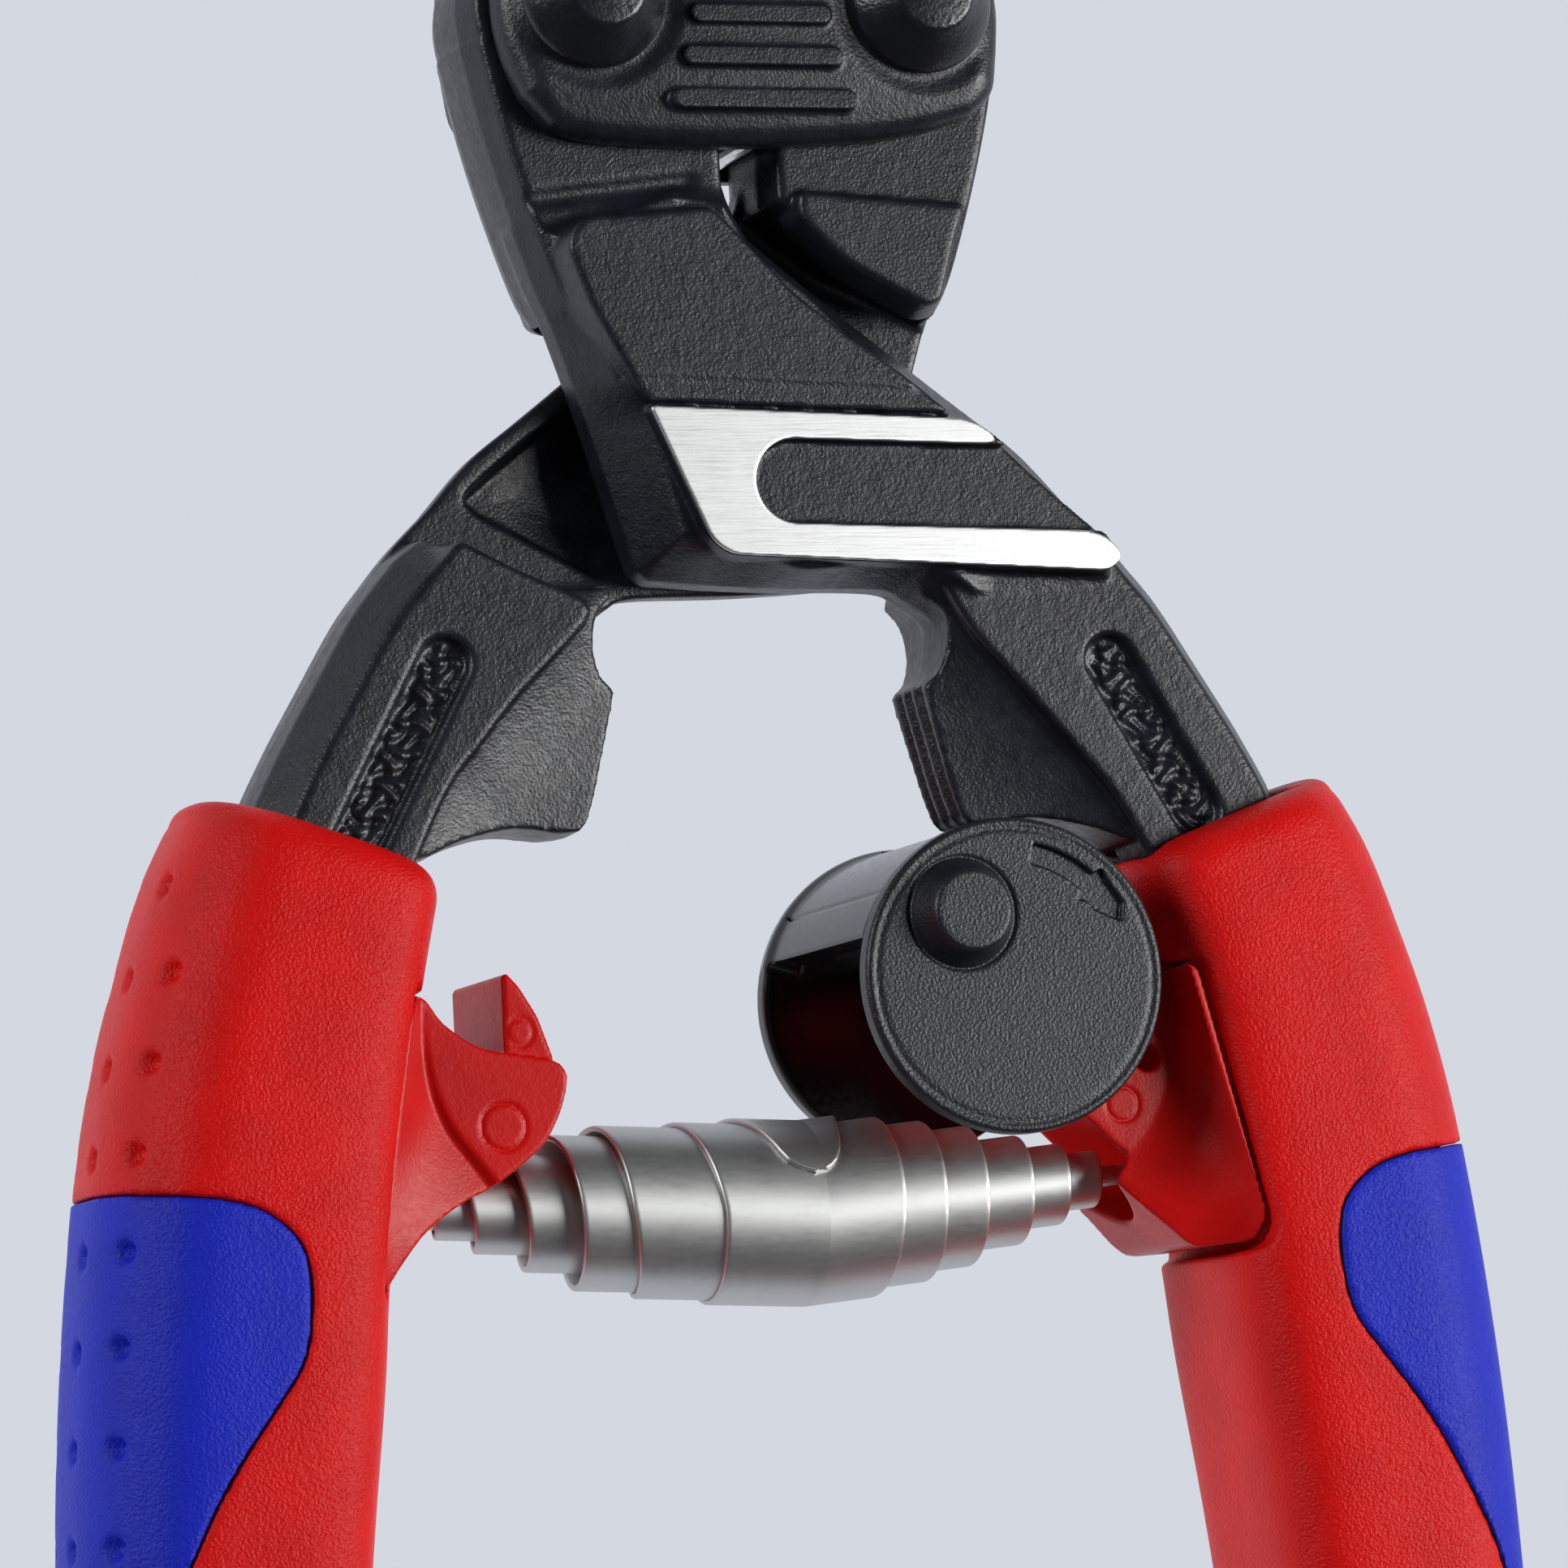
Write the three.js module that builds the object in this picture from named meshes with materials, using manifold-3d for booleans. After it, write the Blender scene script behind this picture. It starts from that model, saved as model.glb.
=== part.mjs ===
// Compact lever bolt cutters with an opening spring and a handle lock.
//
// Design frame, in millimetres: the tool lies on its back, +Y points to the jaw tips, +X to the
// right and +Z out of the front face. The design origin is midway between the two lever bolts.
// The whole assembly is shifted at the end, so that it stands on its base plane.
// The handles are open, which is where the spring holds them.

import * as THREE from 'three';
import { mergeVertices } from 'three/addons/utils/BufferGeometryUtils.js';
import Module from 'manifold-3d';

const wasm = await Module();
wasm.setup();

// ---------------------------------------------------------------- driving dimensions

const GAP = 0.3;                // clearance between separate pieces
const BOLT_X = 11;              // lever bolts, either side of the centre line
const JAW_BOLT_Y = 15;          // jaw bolt above the line of the lever bolts
const CLOSING = 11;             // turn of each handle from open to closed, in degrees
const JAW_RATIO = 0.8;          // turn of a jaw for a turn of its lever

const HEAD_HALF = 4.8;          // half thickness of the lever heads and jaws
const ARM_HALF = 5.3;           // half thickness of the lever arms
const PAD_TOP = 7.5;            // height of the raised pad and ground band
const SMALL_PAD_TOP = 5.8;      // height of the small pad on a lever's other face
const FIN_HALF = 2.75;          // half thickness of the gripping fins
const TANG_HALF = 3;            // half thickness of the tang in the grip
const POCKET_DEPTH = 0.8;       // oblong pockets in the arms
const SLOT_DEPTH = 1;           // slot in the ground band
const CROSSING_TOP = ARM_HALF - 1;      // the pads start inside the crossing

const PLATE_IN = HEAD_HALF + GAP;       // inner face of the cover plates
const PLATE_OUT = PLATE_IN + 3.2;       // outer face of the cover plates
const BOLT_TOP = 11.2;                  // flats of the bolt heads and nuts
const LEVER_SHANK_R = 4;
const JAW_SHANK_R = 4.5;
const STUB_R = 3;                       // threaded end of each bolt

const SKIN = 1.5;               // thickness of the soft zones

const DRUM_X = 12.6;            // lock drum's axis
const DRUM_Y = -62.9;
const DRUM_R = 10;
const DRUM_HALF = 10.5;         // half length of the drum over its discs
const DISC_THICK = 1.6;
const DRUM_WALL = 1.6;
const LOCK_PIN_R = 1.8;
const WALL_FROM = 78;           // the drum's wall, in degrees about its axis
const WALL_TO = 163;
const BOSS_AT = [9.2, -58.9];   // raised boss on the end disc
const BOSS_R = 3.4;
const BOSS_TOP_R = 2.55;
const BOSS_RISE = 2.1;

const ROUND_SIDES = 24;         // facets of a round piece

const rad = THREE.MathUtils.degToRad;

// ---------------------------------------------------------------- materials

function finish(color, roughness, metalness) {
  return new THREE.MeshStandardMaterial({ color, roughness, metalness });
}

const forgedBlack = finish(0x3c3e42, 0.5, 0.35);
const plateBlack = finish(0x37393d, 0.5, 0.3);
const boltBlack = finish(0x303236, 0.4, 0.5);
const jawSteel = finish(0x6a6d72, 0.4, 0.8);
const springSteel = finish(0xa8aaac, 0.3, 1);
const brightSteel = finish(0xc4c6c8, 0.3, 1);
const redPlastic = finish(0xcf1f1c, 0.55, 0);
const blueSoft = finish(0x1c2bb4, 0.7, 0);
const blackPlastic = finish(0x34363a, 0.6, 0);

// ---------------------------------------------------------------- solids

// A manifold solid of a closed three.js geometry.
function solid(geometry) {
  const bare = geometry.index ? geometry.toNonIndexed() : geometry;
  bare.deleteAttribute('normal');
  bare.deleteAttribute('uv');
  const merged = mergeVertices(bare, 1e-4);
  const mesh = new wasm.Mesh({
    numProp: 3,
    vertProperties: new Float32Array(merged.attributes.position.array),
    triVerts: new Uint32Array(merged.index.array),
  });
  return new wasm.Manifold(mesh);
}

// The three.js geometry of a manifold solid.
function geometryOf(body) {
  const mesh = body.getMesh();
  const geometry = new THREE.BufferGeometry();
  geometry.setAttribute('position', new THREE.BufferAttribute(mesh.vertProperties, 3));
  geometry.setIndex(new THREE.BufferAttribute(mesh.triVerts, 1));
  geometry.computeVertexNormals();
  return geometry;
}

function union(...bodies) {
  return bodies.reduce((sum, body) => sum.add(body));
}

function cut(body, ...tools) {
  return tools.reduce((left, tool) => left.subtract(tool), body);
}

// A shape through points. A run that is an array of arrays of points is a smooth curve.
function outline(...runs) {
  const shape = new THREE.Shape();
  let started = false;
  for (const run of runs) {
    const smooth = Array.isArray(run[0]);
    const points = (smooth ? run : [run]).map(([x, y]) => new THREE.Vector2(x, y));
    if (!started) shape.moveTo(points[0].x, points[0].y);
    else shape.lineTo(points[0].x, points[0].y);
    if (smooth) shape.splineThru(points.slice(1));
    started = true;
  }
  shape.closePath();
  return shape;
}

// The shape as a polygon, without points that lie on top of each other.
function cleanShape(shape, curveSegments) {
  const points = shape.getPoints(curveSegments);
  const kept = points.filter((p, i) => p.distanceTo(points[(i + 1) % points.length]) > 0.02);
  return new THREE.Shape(kept);
}

// A flat body of a shape from z = low to z = high, with a chamfer or round on both faces.
function slab(shape, low, high, { edge = 0, steps = 1, curveSegments = 2, inset = 0 } = {}) {
  const geometry = new THREE.ExtrudeGeometry(cleanShape(shape, curveSegments), {
    depth: high - low - 2 * edge,
    bevelEnabled: edge > 0 || inset > 0,
    bevelThickness: edge,
    bevelSize: edge,
    bevelOffset: -edge - inset,
    bevelSegments: steps,
  });
  geometry.translate(0, 0, low + edge);
  return solid(geometry);
}

// A slab whose chamfer is on its front face only.
function frontPad(shape, low, high, edge) {
  const body = slab(shape, low - 2 * edge, high, { edge });
  return cut(body, box(-80, 80, -80, 60, low - 4, low));
}

function box(x0, x1, y0, y1, z0, z1) {
  const geometry = new THREE.BoxGeometry(x1 - x0, y1 - y0, z1 - z0);
  geometry.translate((x0 + x1) / 2, (y0 + y1) / 2, (z0 + z1) / 2);
  return solid(geometry);
}

function cylinder(x, y, r, z0, z1, sides = ROUND_SIDES) {
  const geometry = new THREE.CylinderGeometry(r, r, z1 - z0, sides);
  geometry.rotateX(Math.PI / 2);
  geometry.translate(x, y, (z0 + z1) / 2);
  return solid(geometry);
}

// A body turned about the Z axis through (x, y). The profile is radius and height pairs.
function turned(x, y, profile) {
  const points = profile.map(([r, z]) => new THREE.Vector2(r, z));
  const geometry = new THREE.LatheGeometry(points, ROUND_SIDES);
  geometry.rotateX(Math.PI / 2);
  geometry.translate(x, y, 0);
  return solid(geometry);
}

// An oblong body from one point to another with round ends.
function pill(a, b, r, z0, z1) {
  const along = new THREE.Vector2(b[0] - a[0], b[1] - a[1]);
  const turn = along.angle();
  const shape = new THREE.Shape();
  shape.absarc(b[0], b[1], r, turn - Math.PI / 2, turn + Math.PI / 2);
  shape.absarc(a[0], a[1], r, turn + Math.PI / 2, turn + 3 * Math.PI / 2);
  shape.closePath();
  return slab(shape, z0, z1, { curveSegments: 4 });
}

// A sector of a disc about (x, y), between two angles in degrees.
function sector(x, y, r, from, to, z0, z1) {
  const shape = new THREE.Shape();
  shape.moveTo(x, y);
  shape.lineTo(...polar(x, y, r, from));
  shape.absarc(x, y, r, rad(from), rad(to));
  shape.closePath();
  return slab(shape, z0, z1, { curveSegments: 10 });
}

function polar(x, y, r, degrees) {
  return [x + r * Math.cos(rad(degrees)), y + r * Math.sin(rad(degrees))];
}

// The same body on the other handle: turned half way round the tool's long axis.
function otherSide(body) {
  return body.rotate([0, 180, 0]);
}

// ---------------------------------------------------------------- gearing of lever and jaw

// Each lever's round finger rolls on the tail of the opposite jaw. A tooth on the tail sits in
// a notch of the finger, and both are centred on the pitch point half way through the stroke.
const PIVOT_SPAN = Math.hypot(BOLT_X, JAW_BOLT_Y);
const FINGER_R = PIVOT_SPAN * JAW_RATIO / (1 + JAW_RATIO);
const TAIL_R = PIVOT_SPAN - FINGER_R;
const MESH_ANGLE = THREE.MathUtils.radToDeg(Math.atan2(JAW_BOLT_Y, BOLT_X));
const TOOTH_R = 1.7;
const NOTCH_R = TOOTH_R + GAP + 0.05;
const ROLL_GAP = 0.2;           // each round face stands this far behind the pitch circle

// ---------------------------------------------------------------- levers

// The lever on the left bolt, which crosses in front and becomes the right handle.
const HEAD_OUTLINE = outline(
  [-12.8, -19.6], [[-14, -17.5], [-15.7, -12.5], [-17.1, -7.5], [-18.3, -2]],
  [-11, 5], [-3.4, 1.5], [-1.2, -2.5], [-1.2, -12.6], [-3.2, -14.2], [-6.1, -16.4],
);
const CROSSING_OUTLINE = outline(
  [-15.2, -14], [[-14.1, -17.5], [-12.2, -22.9], [-10.3, -29], [-8.5, -36.6]],
  [[-8.5, -36.6], [-1, -37.1], [7.6, -37.3], [9.6, -38]], [13, -40], [24, -38.5], [23.2, -36.6],
  [[14.8, -28.6], [8, -23], [1.9, -18.3], [-1.4, -14.9]], [-1.2, -12], [-6, -11],
);
const PAD_OUTLINE = outline(
  [-13.2, -16], [-12.4, -14.8], [-11, -14.2], [-4, -13.5], [-2.7, -13.9],
  [[-2.2, -15], [1.7, -18.4], [7.8, -23.1], [11.4, -26]], [10.6, -26.5], [-8.5, -25.8], [-9.6, -24.6],
);
const BAND_OUTLINE = outline(
  [-8.4, -26], [13, -26.8], [14.9, -28.5], [18.6, -32], [22.7, -35.8], [22, -36.8],
  [-3.6, -35.5], [-4.8, -34.8],
);
const ARM_OUTLINE = outline(
  [13.3, -38.8], [20.6, -34.6], [22.8, -36.2],
  [[26.6, -40.7], [29.4, -45.6], [31.6, -50.2], [35.2, -59]], [36.2, -63], [29.2, -63],
  [[27.4, -58.5], [24.6, -53.2], [21, -48], [16.2, -42]],
);
const TANG_OUTLINE = outline(
  [30, -52], [33, -54], [[36.4, -62], [39.4, -74], [41.4, -88], [42.6, -104], [43.2, -138]],
  [38.4, -138], [[37.6, -104], [36.2, -88], [33.8, -74], [31, -63]],
);
const FIN_OUTLINE = outline(
  [8.6, -37.2], [14, -37.4], [22, -44], [27, -53], [25.4, -54.4],
  [[24, -54.2], [21, -53], [17.6, -52.3], [14.4, -52.6]], [13.2, -52.4],
  [[12.5, -51.8], [11.9, -50], [11.2, -47.2], [10.6, -44.4]], [10.5, -43.4],
  [[11.3, -42.6], [11.8, -41], [11.6, -39], [10.4, -37.8]],
);
const SMALL_PAD_OUTLINE = outline(
  [-14.2, -12.9], [-3.4, -12], [-3.2, -13.7], [-6.2, -16.2], [-12.3, -19], [-13.3, -18.4],
);
const POCKET_FRONT = [[22.5, -42.2], [27.6, -51.6]];
const POCKET_BACK = [[22.2, -41.8], [28.4, -53]];
const POCKET_R = 1.6;
const GROOVES = 4;              // lengthwise grooves in the gripping face
const GROOVE_PITCH = 1.1;
const GROOVE_DEPTH = 0.5;

function drivingFinger() {
  const notch = polar(-BOLT_X, 0, FINGER_R, MESH_ANGLE + CLOSING / 2);
  const boss = cylinder(-BOLT_X, 0, 7.4, -HEAD_HALF, HEAD_HALF);
  const reach = FINGER_R - ROLL_GAP;
  const finger = sector(-BOLT_X, 0, reach, MESH_ANGLE - 40, MESH_ANGLE + 40, -HEAD_HALF, HEAD_HALF);
  return cut(union(boss, finger), cylinder(notch[0], notch[1], NOTCH_R, -6, 6));
}

function groundBand() {
  const band = frontPad(BAND_OUTLINE, CROSSING_TOP, PAD_TOP, 0.4);
  const slot = pill([1, -30.9], [24, -31.6], 2.65, PAD_TOP - SLOT_DEPTH, PAD_TOP + 1);
  return cut(band, slot);
}

function grippingFin() {
  const grooveShape = outline(
    [11, -43.6], [11.7, -47], [12.4, -50], [13.2, -53.2], [12.4, -53.2], [10, -49], [9.5, -43.6],
  );
  const first = -GROOVE_PITCH * (GROOVES - 1) / 2;
  const grooves = [];
  for (let i = 0; i < GROOVES; i += 1) {
    const z = first + i * GROOVE_PITCH;
    grooves.push(slab(grooveShape, z - GROOVE_DEPTH / 2, z + GROOVE_DEPTH / 2));
  }
  return cut(slab(FIN_OUTLINE, -FIN_HALF, FIN_HALF, { curveSegments: 3 }), ...grooves);
}

// The arm's full-depth part. Its inner side slopes down to the fin in two steps.
function armSection() {
  const arm = slab(ARM_OUTLINE, -ARM_HALF, ARM_HALF, { curveSegments: 3 });
  const slope = outline(
    [11.6, -39.6], [17, -37.4], [31, -51.4], [24.9, -54],
    [20.4, -50], [15.6, -45.2], [12.4, -41.6],
  );
  return union(arm, slab(slope, -ARM_HALF + 1.3, ARM_HALF - 1.3, { edge: 1.1 }));
}

function lever() {
  const z = ARM_HALF;
  const body = union(
    slab(HEAD_OUTLINE, -HEAD_HALF, HEAD_HALF, { curveSegments: 3 }),
    drivingFinger(),
    slab(CROSSING_OUTLINE, GAP, ARM_HALF, { curveSegments: 3 }),
    frontPad(PAD_OUTLINE, CROSSING_TOP, PAD_TOP, 0.5),
    groundBand(),
    armSection(),
    slab(TANG_OUTLINE, -TANG_HALF, TANG_HALF, { curveSegments: 3 }),
    grippingFin(),
    otherSide(frontPad(mirrored(SMALL_PAD_OUTLINE), HEAD_HALF - 1, SMALL_PAD_TOP, 0.4)),
  );
  return cut(
    body,
    cylinder(-BOLT_X, 0, LEVER_SHANK_R + GAP, -6, 6),
    box(-20, 2, -12.6, 8, HEAD_HALF, 9),
    webRecess(),
    pill(...POCKET_FRONT, POCKET_R, z - POCKET_DEPTH, z + 1),
    pill(...POCKET_BACK, POCKET_R, -z - 1, -z + POCKET_DEPTH),
  );
}

// The crossing's inner face is hollowed, which leaves a rim along its outer edge.
function webRecess() {
  const recess = outline(
    [-4, -19.5], [[1.5, -19.6], [7, -23.8], [13.6, -29.4]], [17, -32.6], [11.5, -36], [-2, -36],
  );
  return slab(recess, -GAP, GAP + 1);
}

// A shape seen from behind: its X values change sign.
function mirrored(shape) {
  const points = shape.getPoints(3).map((p) => new THREE.Vector2(-p.x, p.y));
  return new THREE.Shape(points);
}

// ---------------------------------------------------------------- jaws

// The right jaw, closed: it lies in the front half at the jaw bolt, and its tail is at the left.
const BLADE_OUTLINE = outline(
  [0.15, 23.4], [0.15, 43.8], [1.4, 45],
  [[3.4, 44.6], [8, 41.6], [11.6, 36], [12.8, 30], [11.4, 23.6], [8, 17]], [2, 20],
);

// The jaw's two cutting bevels meet in a narrow edge on the centre line.
function cuttingBevel() {
  const section = new THREE.Shape();
  section.moveTo(-1, 0.35);
  section.lineTo(0.15, 0.35);
  section.lineTo(3.4, HEAD_HALF + 0.2);
  section.lineTo(-1, HEAD_HALF + 0.2);
  section.closePath();
  const geometry = new THREE.ExtrudeGeometry(section, { depth: 26, bevelEnabled: false });
  geometry.rotateX(Math.PI / 2);
  geometry.translate(0, 50, 0);
  return solid(geometry);
}

function jaw() {
  const blade = cut(
    slab(BLADE_OUTLINE, -HEAD_HALF, HEAD_HALF, { curveSegments: 3 }),
    cylinder(0, JAW_BOLT_Y, 8 + GAP, -6, GAP),
  );
  const bevel = cuttingBevel();
  const tailTurn = MESH_ANGLE + 180;
  const closedTurn = tailTurn + JAW_RATIO * CLOSING / 2;
  const tooth = polar(0, JAW_BOLT_Y, TAIL_R, closedTurn);
  const body = union(
    cut(blade, bevel, bevel.mirror([0, 0, 1])),
    cylinder(0, JAW_BOLT_Y, 8, GAP, HEAD_HALF),
    sector(0, JAW_BOLT_Y, TAIL_R - ROLL_GAP, closedTurn - 18, closedTurn + 18, GAP, HEAD_HALF),
    cylinder(tooth[0], tooth[1], TOOTH_R, GAP, HEAD_HALF, 20),
  );
  return cut(body, cylinder(0, JAW_BOLT_Y, JAW_SHANK_R + GAP, -6, 6));
}

// The right jaw as it stands with the handles open.
function openJaw() {
  const turn = -JAW_RATIO * CLOSING;
  return jaw().translate([0, -JAW_BOLT_Y, 0]).rotate([0, 0, turn]).translate([0, JAW_BOLT_Y, 0]);
}

// ---------------------------------------------------------------- cover plates and bolts

const PLATE_OUTLINE = outline(
  [[-12.6, -9.4], [0, -10], [12.6, -9.4]],
  [[15.2, -8.2], [16.3, -5.6], [17, 0], [16.6, 5], [13.4, 13], [9.4, 19.4], [5.6, 23.2], [0, 24.6],
    [-5.6, 23.2], [-9.4, 19.4], [-13.4, 13], [-16.6, 5], [-17, 0], [-16.3, -5.6], [-15.2, -8.2]],
);
const PLATE_BORES = [[-BOLT_X, 0, LEVER_SHANK_R], [BOLT_X, 0, LEVER_SHANK_R],
  [0, JAW_BOLT_Y, JAW_SHANK_R]];
const PLATE_RIBS = [[4.1, -1.1], [4.75, -3.85], [5.6, -6.6]];    // half length, place along Y
const RIB_R = 0.7;
const RIB_RISE = 0.5;

function coverPlate() {
  const bores = PLATE_BORES.map(([x, y, r]) => cylinder(x, y, r + GAP, 0, 12));
  const ribs = PLATE_RIBS.map(([half, y]) => (
    pill([-half, y], [half, y], RIB_R, PLATE_OUT - 1, PLATE_OUT + RIB_RISE)
  ));
  const blank = frontPad(PLATE_OUTLINE, PLATE_IN, PLATE_OUT, 0.9);
  return cut(union(blank, ...ribs), ...bores);
}

// A bolt with a flat-topped conical head at the front and a threaded stub at the back.
function bolt(x, y, shankR, headR, flatR) {
  const under = PLATE_OUT + GAP;
  return turned(x, y, [
    [0, -BOLT_TOP + 1], [STUB_R, -BOLT_TOP + 1], [STUB_R, -PLATE_OUT], [shankR, -PLATE_OUT],
    [shankR, under], [headR, under], [headR, under + 0.5], [flatR, BOLT_TOP], [0, BOLT_TOP],
  ]);
}

// The closed nut on a bolt's stub, with the same outside as the bolt's head.
function nut(x, y, headR, flatR) {
  const under = -PLATE_OUT - GAP;
  const boreR = STUB_R + GAP;
  const boreEnd = -BOLT_TOP + 1 - GAP;
  return turned(x, y, [
    [0, -BOLT_TOP], [flatR, -BOLT_TOP], [headR, under - 0.5], [headR, under],
    [boreR, under], [boreR, boreEnd], [0, boreEnd],
  ]);
}

// ---------------------------------------------------------------- grips

// The right grip's stations, from its collar to its end: the middle of the section, its half
// width and its half depth.
const GRIP_STATIONS = [
  [30.8, -53.6, 7.9, 8.4], [32.2, -58, 8.9, 9.5], [34.3, -66, 9.4, 9.7], [35.8, -74, 9.4, 9.7],
  [36.9, -82, 9.35, 9.7], [37.8, -90, 9.3, 9.6], [38.9, -101, 9, 9.4], [40.1, -117, 8.4, 9],
  [40.9, -132, 7.9, 8.6], [41.1, -145, 7.4, 8], [40.9, -150.5, 6.2, 6.8], [40.8, -153.2, 3.6, 4],
];
const GRIP_SQUARENESS = 3;      // exponent of the rounded section
const GRIP_SIDES = 20;
// The soft zone covers the grip's outer side, and its edge sweeps outwards along the grip.
const ZONE_RUN = [[43, -74.6], [37.4, -75.4], [35.2, -76.6], [34, -79], [34.6, -84.4],
  [37.6, -88.8], [41.6, -95.6], [44.6, -102], [46.4, -110], [47.2, -122]];

// A section with round corners that fits a square of half width 1.
function roundedSection() {
  const flatten = (v) => Math.sign(v) * Math.abs(v) ** (2 / GRIP_SQUARENESS);
  const points = [];
  for (let i = 0; i < GRIP_SIDES; i += 1) {
    const turn = (i + 0.5) * 2 * Math.PI / GRIP_SIDES;
    points.push(new THREE.Vector2(flatten(Math.cos(turn)), flatten(Math.sin(turn))));
  }
  return new THREE.Shape(points);
}

// The grip's form: a straight prism whose rings are then placed at the stations.
function gripForm(inset) {
  const last = GRIP_STATIONS.length - 1;
  const geometry = new THREE.ExtrudeGeometry(roundedSection(), {
    depth: last,
    steps: last,
    bevelEnabled: false,
  });
  const position = geometry.attributes.position;
  for (let i = 0; i < position.count; i += 1) {
    const ring = Math.round(position.getZ(i));
    const [x, y, halfWidth, halfDepth] = GRIP_STATIONS[ring];
    const before = GRIP_STATIONS[Math.max(ring - 1, 0)];
    const after = GRIP_STATIONS[Math.min(ring + 1, last)];
    const along = new THREE.Vector2(after[0] - before[0], after[1] - before[1]).normalize();
    const across = position.getX(i) * (halfWidth - inset);
    const up = position.getY(i) * (halfDepth - inset);
    position.setXYZ(i, x - along.y * across, y + along.x * across, up);
  }
  return solid(geometry);
}

// The plan region of the soft zone, grown on all sides by margin.
function zoneRegion(margin) {
  const run = ZONE_RUN.map(([x, y], i) => [x - margin, y + (i < 2 ? margin : 0)]);
  return slab(outline([60, -74.6 + margin], run, [60, -122 - margin]), -12, 12, { curveSegments: 2 });
}

function rightSoftZone() {
  return cut(gripForm(0), gripForm(SKIN)).intersect(zoneRegion(0));
}

function rightGripBlank() {
  const recess = cut(zoneRegion(GAP), gripForm(SKIN + GAP));
  const tang = slab(TANG_OUTLINE, -TANG_HALF - GAP, TANG_HALF + GAP, { edge: 0.01, inset: -GAP });
  const arm = slab(ARM_OUTLINE, -ARM_HALF - GAP, ARM_HALF + GAP, { edge: 0.01, inset: -GAP });
  return cut(gripForm(0), recess, tang, arm);
}

// ---------------------------------------------------------------- brackets on the grips

const SEAT_HALF = 7.4;          // half depth of a bracket's foot in the grip
const WEB_HALF = 6;             // half depth of the catch
const CARRIER_HALF = 4.6;       // half depth of the lock's carrier
const PEG_R = 1.1;              // pegs that hold the ends of the spring

// The left bracket, on the left grip: it has the catch for the lock and a seat for the spring.
const CATCH_FOOT = outline(
  [-26.6, -62.4], [-24.3, -62.6], [[-24.2, -66], [-24.4, -72], [-25.6, -76.6], [-28.3, -80.4]],
  [-31, -80.4],
);
const CATCH_WEB = outline(
  [-25.6, -62.9], [[-24.2, -63.4], [-22.8, -65.6], [-21, -66.3], [-19.7, -65.6]],
  [-19.6, -61.5], [-19, -61.4],
  [[-17.3, -63.8], [-16.4, -66.1], [-15.9, -67.8], [-16.3, -69.6], [-18, -72.4], [-20.7, -74.6]],
  [-23.8, -77.2], [-26.4, -79], [-28, -76], [-27, -68],
);
// The right bracket, on the right grip: it carries the lock drum and seats the spring.
const CARRIER_FOOT = outline(
  [24.2, -62.2], [26.6, -61.8], [30.4, -80.2], [28.2, -81], [24.6, -80.2], [[22.4, -77.6],
    [22.6, -74], [24.2, -69]],
);
const CARRIER_WEB = outline(
  [DRUM_X, -59.9], [18, -60.2], [26, -61.4], [28, -72], [24, -73.4], [[20.4, -71.6], [17.4, -68.4],
    [DRUM_X, -66]],
);

function grown(shape, margin, z) {
  return slab(shape, -z, z, { edge: 0.01, inset: -margin });
}

// A peg along a line in the plane z = 0.
function peg(from, to, r) {
  const dx = to[0] - from[0];
  const dy = to[1] - from[1];
  const geometry = new THREE.CylinderGeometry(r, r, Math.hypot(dx, dy), 16);
  geometry.rotateZ(Math.atan2(dy, dx) + Math.PI / 2);
  geometry.translate((from[0] + to[0]) / 2, (from[1] + to[1]) / 2, 0);
  return solid(geometry);
}

function leftBracket() {
  return cut(
    union(
      slab(CATCH_FOOT, -SEAT_HALF, SEAT_HALF),
      slab(CATCH_WEB, -WEB_HALF, WEB_HALF),
      peg([-26, SPRING_LEFT[1]], [SPRING_LEFT[0] + 3, SPRING_LEFT[1]], PEG_R),
    ),
    peg([-24.6, SPRING_LEFT[1]], [-20, SPRING_LEFT[1]], 3).subtract(
      peg([-24.9, SPRING_LEFT[1]], [-19, SPRING_LEFT[1]], PEG_R),
    ),
  );
}

function rightBracket() {
  const seat = [SPRING_RIGHT[0] + 1.4, SPRING_RIGHT[1]];
  const socket = union(
    peg([SPRING_RIGHT[0] - 2, SPRING_RIGHT[1]], seat, 3),
    peg([SPRING_RIGHT[0] - 8, SPRING_RIGHT[1]], [SPRING_RIGHT[0] - 1, SPRING_RIGHT[1]], 4.2),
  );
  const hub = cylinder(DRUM_X, DRUM_Y, 3.1, -DRUM_HALF + DISC_THICK + GAP, DRUM_HALF - DISC_THICK - GAP);
  return union(
    cut(
      union(
        slab(CARRIER_FOOT, -SEAT_HALF, SEAT_HALF),
        slab(CARRIER_WEB, -CARRIER_HALF, CARRIER_HALF),
        hub,
      ),
      socket,
      cylinder(DRUM_X, DRUM_Y, LOCK_PIN_R + GAP, -12, 12),
    ),
    peg([SPRING_RIGHT[0] - 3, SPRING_RIGHT[1]], [seat[0] + 1, SPRING_RIGHT[1]], PEG_R),
  );
}

function rightGrip() {
  return cut(rightGripBlank(), grown(CARRIER_FOOT, GAP, SEAT_HALF + GAP),
    grown(CARRIER_WEB, GAP, CARRIER_HALF + GAP));
}

function leftGrip() {
  return cut(otherSide(rightGripBlank()), grown(CATCH_FOOT, GAP, SEAT_HALF + GAP),
    grown(CATCH_WEB, GAP, WEB_HALF + GAP));
}

// ---------------------------------------------------------------- lock

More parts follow.
